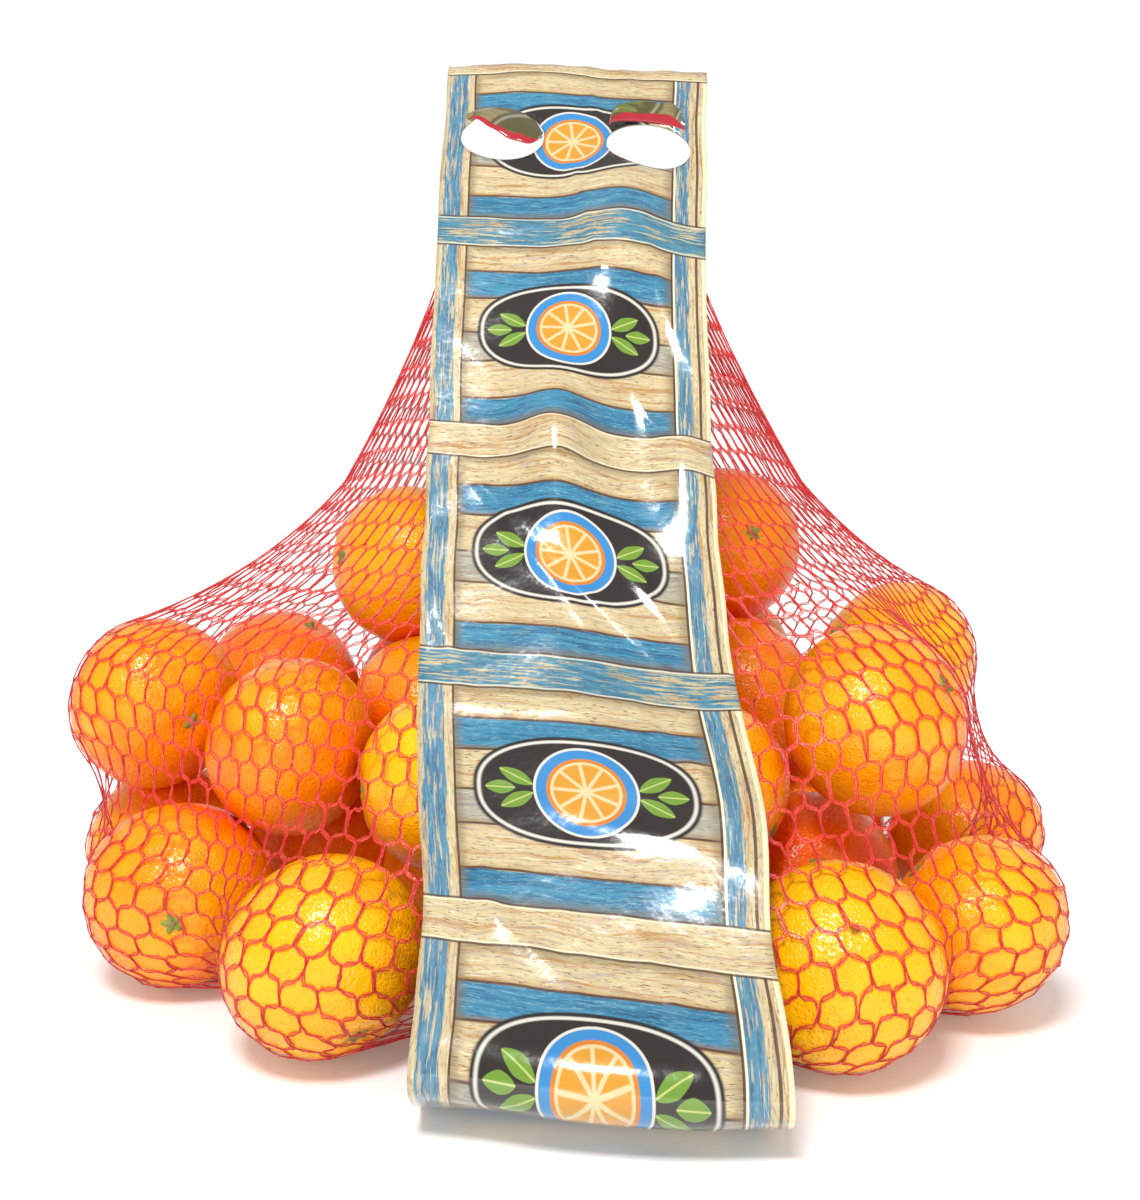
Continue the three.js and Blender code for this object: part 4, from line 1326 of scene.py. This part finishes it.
def tight_net(band, fruit):
    """The net as a grid of points, from the gathered bottom end up to the weld."""
    walls = film_walls(band)
    grid = None
    for coarse, passes in ((COARSE, COARSE_PASSES), (1, FINE_PASSES)):
        columns, under, side, neck = (n // coarse for n in (WALES, UNDER_ROWS, SIDE_ROWS, NECK_ROWS))
        origins, directions = net_rays(columns, under, side)
        least, most = ray_limits(origins, directions, fruit, walls)
        if grid is None:
            start = origins + directions * np.minimum(most, NET_START)[..., None]
            share = (np.arange(1, neck + 1) / neck)[:, None, None]
            gathered = start[-1:] * (1 - share) + weld_ring(band, columns) * share
            grid = np.concatenate([start, gathered])
        else:
            grid = finer(grid, columns, under + side + 1 + neck)
            grid[-1] = weld_ring(band, columns)
        grid = pull_tight(grid, (origins, directions), (least, most), walls, passes)
    settle_on_floor(grid)
    return grid


def even_hoops(grid):
    """Slides the points of each row round it until they are even, from the front's middle."""
    rows, columns, _ = grid.shape
    start = int(round(columns * 0.75))  # where the front's middle is
    out = np.empty_like(grid)
    for row in range(rows):
        ring = np.roll(grid[row], -start, 0)
        ring = np.vstack([ring, ring[:1]])
        gone = np.concatenate([[0], np.cumsum(np.linalg.norm(np.diff(ring, axis=0), axis=1))])
        at = np.linspace(0, 1, columns, endpoint=False) * gone[-1]
        if row > rows - NECK_ROWS:
            blend = (row - (rows - NECK_ROWS)) / (NECK_ROWS - 1)
            at = at * (1 - blend) + gone[:-1] * blend
        even = np.stack([np.interp(at, gone, ring[:, k]) for k in range(3)], 1)
        out[row] = np.roll(even, start, 0)
    return out


def row_places(grid):
    """For each column, where each row of cells lies, as a place in the grid from the weld down."""
    rows, columns, _ = grid.shape
    down = grid[::-1]
    across = np.linalg.norm(np.roll(down, -1, 1) - down, axis=2)
    across = (across + np.roll(across, 1, 1) + np.roll(across, 2, 1) + np.roll(across, -1, 1)) / 4
    gone = np.linalg.norm(np.diff(down, axis=0), axis=2)
    width = np.minimum((across[1:] + across[:-1]) / 2, DIAGONAL * 0.96)
    pitch = LINK + np.sqrt(DIAGONAL**2 - width**2)
    counted = np.concatenate([np.zeros((1, columns)), np.cumsum(gone / pitch, 0)])
    length = np.concatenate([np.zeros((1, columns)), np.cumsum(gone, 0)])
    for _ in range(3):
        counted = (np.roll(counted, 2, 1) + np.roll(counted, -2, 1) + counted) / 3
    turn = 2 * math.pi * np.arange(columns) / columns
    lift = -np.sin(turn) * ROW_LIFT / 2
    fade = np.clip(length / 200, 0, 1) * np.clip((length[-1] - length) / 120, 0, 1)
    counted += lift / (LINK + DIAGONAL / 3) * fade
    counted = np.maximum.accumulate(counted, 0)
    total = int(math.ceil(counted[-1].max()))
    fine = np.linspace(0, total, total * 4 + 1)
    places = np.stack([np.interp(fine, counted[:, c], np.arange(rows)) for c in range(columns)], 1)
    return places, total


class Fabric:
    """The net's surface by wale and row of cells, counted from the weld down."""

    def __init__(self, grid):
        self.grid = grid[::-1]
        self.places, self.rows = row_places(grid)
        around = np.roll(self.grid, -1, 1) - np.roll(self.grid, 1, 1)
        along = np.gradient(self.grid, axis=0)
        normal = np.cross(around, -along)
        normal /= np.maximum(np.linalg.norm(normal, axis=2), 1e-9)[..., None]
        self.normal = normal
        self.spacing = np.linalg.norm(around, axis=2) / 2

    def at(self, wale, row):
        """Place, outward normal and spacing of the wales there."""
        columns = self.grid.shape[1]
        wale = np.mod(wale, columns)
        c = np.floor(wale).astype(int) % columns
        u = wale - np.floor(wale)
        d = (c + 1) % columns
        fine = np.clip(row * 4, 0, self.rows * 4 - 1e-6)
        r = fine.astype(int)
        v = fine - r
        place = ((self.places[r, c] * (1 - v) + self.places[r + 1, c] * v) * (1 - u)
                 + (self.places[r, d] * (1 - v) + self.places[r + 1, d] * v) * u)
        place = np.clip(place, 0, len(self.grid) - 1.0001)
        g = place.astype(int)
        w = place - g

        def look(table):
            u_, w_ = (u, w) if table.ndim == 2 else (u[..., None], w[..., None])
            top = table[g, c] * (1 - u_) + table[g, d] * u_
            low = table[g + 1, c] * (1 - u_) + table[g + 1, d] * u_
            return top * (1 - w_) + low * w_

        return look(self.grid), look(self.normal), look(self.spacing)


def strands(fabric, wales, rng):
    """Each wale's tape and filaments: lines, normals, kept steps, and the sizes of both."""
    places, nears, spreads, widths = np.array(LOOP).T
    rows = np.repeat(np.arange(fabric.rows), len(LOOP))
    part = np.tile(np.arange(len(LOOP)), fabric.rows)
    wale = wales[:, None]
    side = np.where((wale + rows[None]) % 2 == 0, 1.0, -1.0)
    shape = (len(wales), len(rows))
    across = wale + side * nears[part] + rng.normal(scale=WOBBLE[0], size=shape)
    down = rows + 0.5 + places[part] + rng.normal(scale=WOBBLE[1], size=shape)
    place, normal, spacing = fabric.at(across, down)
    aside, _ = line_axes(place, normal)
    turn = np.arange(len(rows)) * 1.3
    lines = [place]
    for filament in range(FILAMENTS):
        phase = turn[None] + filament * 2 * math.pi / FILAMENTS + wale * 2.1
        shift = np.minimum(spreads[part] * rng.uniform(0.7, 1.3, shape), 0.3 * spacing)
        line = place + aside * (shift * np.cos(phase))[..., None]
        line += normal * (0.12 + 0.14 * np.sin(phase))[..., None]
        lines.append(line)
    kept = np.linalg.norm(np.diff(place, axis=1), axis=2) > SHORTEST
    upper = kept & (place[:, 1:, 2] > UNDERSIDE)
    slim = np.clip(spacing / FULL_SPACING, SLIMMEST, 1)  # drawn out where the net is gathered
    return lines, normal, [kept] * FILAMENTS + [upper], slim, TAPE * slim * widths[part]


def keep_out(lines, fruit, skin):
    """Lifts the points of the lines off the fruit."""
    flat = lines.reshape(-1, 3)
    for index in range(len(flat)):
        point = Vector(flat[index] * MM)
        place, normal, *_ = fruit.find_nearest(point, 3.0 * MM)
        if place is None:
            continue
        out = (point - place).dot(normal) / MM
        if out < skin:
            flat[index] += np.array(normal) * (skin - out)
    return flat.reshape(lines.shape)


def line_axes(lines, normals):
    """Directions across each line, along the surface and out of it."""
    along = np.gradient(lines, axis=1)
    along /= np.maximum(np.linalg.norm(along, axis=2), 1e-9)[..., None]
    aside = np.cross(along, normals)
    aside /= np.maximum(np.linalg.norm(aside, axis=2), 1e-9)[..., None]
    return aside, np.cross(aside, along)


def tubes(lines, normals, kept, radius, sides=3):
    """Points and quads of a thin tube along each line, where it is kept."""
    count, steps, _ = lines.shape
    aside, up = line_axes(lines, normals)
    turn = 2 * math.pi * np.arange(sides) / sides
    ring = up[:, :, None] * np.cos(turn)[:, None] + aside[:, :, None] * np.sin(turn)[:, None]
    points = (lines[:, :, None] + ring * radius[..., None, None]).reshape(-1, 3)
    low = (np.arange(count)[:, None] * steps + np.arange(steps - 1))[kept][:, None] * sides
    high = low + sides
    one = np.arange(sides)
    two = (one + 1) % sides
    return points, np.stack([low + one, low + two, high + two, high + one], 2).reshape(-1, 4)


def tapes(lines, normals, kept, width):
    """Points and quads of a flat tape along each line, where it is kept."""
    count, steps, _ = lines.shape
    aside, _ = line_axes(lines, normals)
    half = aside * (width / 2)[..., None]
    points = np.stack([lines - half, lines + half], 2).reshape(-1, 3)
    base = (np.arange(count)[:, None] * steps + np.arange(steps - 1))[kept] * 2
    return points, np.stack([base, base + 1, base + 3, base + 2], 1)


def net_finish(settings):
    """Glossy red filament with paler patches and painted glints."""
    net = Finish("net red", Roughness=0.3, Coat_Weight=0.25, Coat_Roughness=0.12)
    place = net.place()
    colour = net.mix(net.noise(place, 60.0, 2.0), tuple(settings.red), NET_COLOURS["light"])
    # painted glints: fine pale specks that stand in for highlights on the filament
    painted_glint = net.step(net.noise(place, 1500.0), 0.6, 0.75)
    net.set("Base Color", net.mix(painted_glint, colour, NET_COLOURS["painted_glint"]))
    net.bump(net.noise(place, 2500.0), 0.1 * MM, 0.5)
    return net.material


def tape_finish(settings):
    """Thin red plastic tape that lets much of what lies behind it through."""
    tape = Finish("net tape", Roughness=0.22, Alpha=settings.tape_cover)
    place = tape.place()
    tape.set("Base Color", tape.mix(tape.noise(place, 220.0, 2.0), *NET_COLOURS["tape"]))
    tape.bump(tape.noise(place, 900.0), 0.4 * MM, 0.6)
    return tape.material


class SCENE_OT_net(bpy.types.Operator):
    """Pull the net tight over the mandarins and knit its strands"""
    bl_idname = "mandarin_net.net"
    bl_label = "Net"

    def execute(self, context):
        settings = context.scene.net_settings
        heap = piece_named("mandarins")
        fruit = BVHTree.FromObject(heap, bpy.context.evaluated_depsgraph_get())
        band = Band()
        fabric = Fabric(even_hoops(tight_net(band, fruit)))
        radius = settings.filament / MM / 2
        materials = [net_finish(settings), tape_finish(settings)]
        rng = np.random.default_rng(KNIT_SEED)
        quarter = WALES // 4
        for number, name in enumerate(("right_back", "left_back", "left_front", "right_front")):
            wales = np.arange(number * quarter, (number + 1) * quarter)
            lines, normals, kept, slim, width = strands(fabric, wales, rng)
            points, faces, which, count = [], [], [], 0
            for strand, (line, keep) in enumerate(zip(lines, kept)):
                line = keep_out(line, fruit, radius + TAPE_LIFT)
                line[..., 2] = np.maximum(line[..., 2], radius + TAPE_LIFT)
                if strand:  # the first is the tape
                    places, quads = tubes(line, normals, keep, radius * slim)
                else:
                    places, quads = tapes(line, normals, keep, width)
                points.append(places)
                faces.append(quads + count)
                which.append(np.full(len(quads), 0 if strand else 1))
                count += len(places)
            which = np.concatenate(which)
            piece = mesh_piece(f"net_{name}", np.concatenate(points), faces, materials, which)
            dress(piece, "net", "net_of_mandarins")
        return {"FINISHED"}


# ---------------------------------------------------------------- stage

class SCENE_OT_stage(bpy.types.Operator):
    """Set the floor, the soft light and the camera"""
    bl_idname = "mandarin_net.stage"
    bl_label = "Stage"

    def execute(self, context):
        settings = context.scene.stage_settings
        scene = context.scene
        scene.view_settings.view_transform = "Standard"
        half, far = FLOOR_HALF / MM, WALL_AWAY / MM
        floor = Finish("lit white table", Roughness=0.8, Specular_IOR_Level=0.0)
        shade = floor.noise(floor.place(), 3.0, 2.0)
        floor.set("Base Color", floor.mix(shade, *FLOOR_COLOURS))
        floor.set("Emission Color", FLOOR_LIGHT)
        away = floor.add("ShaderNodeVectorMath", {0: floor.place()}, "Value", operation="LENGTH")
        grown = floor.step(away, DIM_FLOOR, LIT_FLOOR)
        lit = floor.math("MULTIPLY_ADD", grown, 1 - DIM_SHARE, DIM_SHARE)
        floor.set("Emission Strength", floor.times(lit, settings.painted_glow))
        corners = [(-half, -half, 0), (half, -half, 0), (half, half, 0), (-half, half, 0)]
        mesh_piece("floor", corners, [[(0, 1, 2, 3)]], [floor.material], smooth=False)
        wall = Finish("white wall", Roughness=0.8, Specular_IOR_Level=0.0)
        wall.set("Base Color", (0.0, 0.0, 0.0))
        wall.set("Emission Color", (1.0, 1.0, 1.0))
        wall.set("Emission Strength", settings.backdrop)
        corners = [(-half, far, 0), (half, far, 0), (half, far, half), (-half, far, half)]
        mesh_piece("wall", corners, [[(0, 1, 2, 3)]], [wall.material], smooth=False)
        world = bpy.data.worlds.new("white room")
        world.use_nodes = True
        light = world.node_tree.nodes["Background"].inputs
        light["Color"].default_value = (1, 1, 1, 1)
        light["Strength"].default_value = settings.fill
        scene.world = world
        self.lamp("key", *KEY_LAMP, settings.key)
        front = self.lamp("front", *FRONT_LAMP, settings.front)
        front.visible_glossy = False
        camera = bpy.data.cameras.new("camera")
        camera.lens = CAMERA_LENS
        camera.sensor_width = 36
        camera.clip_start = 0.01
        viewer = bpy.data.objects.new("camera", camera)
        viewer.location = CAMERA_PLACE
        viewer.rotation_euler = (math.radians(CAMERA_TILT), 0, 0)
        scene.collection.objects.link(viewer)
        scene.camera = viewer
        return {"FINISHED"}

    @staticmethod
    def lamp(name, place, aim, size, power):
        light = bpy.data.lights.new(name, "AREA")
        light.shape = "RECTANGLE"
        light.size, light.size_y = size
        light.energy = power
        lamp = bpy.data.objects.new(name, light)
        lamp.location = place
        lamp.rotation_euler = (Vector(aim) - Vector(place)).to_track_quat("-Z", "Y").to_euler()
        bpy.context.scene.collection.objects.link(lamp)
        return lamp


# ---------------------------------------------------------------- panel and add-on

class SCENE_PT_mandarin_net(bpy.types.Panel):
    """Sizes, colours and pieces of the net of mandarins"""
    bl_label = "Net of mandarins"
    bl_space_type = "VIEW_3D"
    bl_region_type = "UI"
    bl_category = "Mandarins"

    def draw(self, context):
        for group, operators in (
            (context.scene.stage_settings, ("stage",)),
            (context.scene.mandarin_settings, ("mandarins", "stem_ends")),
            (context.scene.film_settings, ("film_band", "hole_tongues")),
            (context.scene.net_settings, ("net",)),
        ):
            box = self.layout.box()
            for name in group.__annotations__:
                box.prop(group, name)
            for name in operators:
                box.operator("mandarin_net." + name)


CLASSES = (
    MandarinSettings, NetSettings, FilmSettings, StageSettings, SCENE_OT_stage, SCENE_OT_mandarins,
    SCENE_OT_stem_ends, SCENE_OT_film_band, SCENE_OT_hole_tongues, SCENE_OT_net, SCENE_PT_mandarin_net,
)
SETTINGS = {
    "mandarin_settings": MandarinSettings, "net_settings": NetSettings,
    "film_settings": FilmSettings, "stage_settings": StageSettings,
}


def register():
    for made in CLASSES:
        bpy.utils.register_class(made)
    for name, group in SETTINGS.items():
        setattr(bpy.types.Scene, name, bpy.props.PointerProperty(type=group))


def unregister():
    for name in SETTINGS:
        delattr(bpy.types.Scene, name)
    for made in reversed(CLASSES):
        bpy.utils.unregister_class(made)


def main():
    register()
    bpy.ops.mandarin_net.stage()
    bpy.ops.mandarin_net.mandarins()
    bpy.ops.mandarin_net.stem_ends()
    bpy.ops.mandarin_net.film_band()
    bpy.ops.mandarin_net.hole_tongues()
    bpy.ops.mandarin_net.net()


if __name__ == "__main__":
    main()
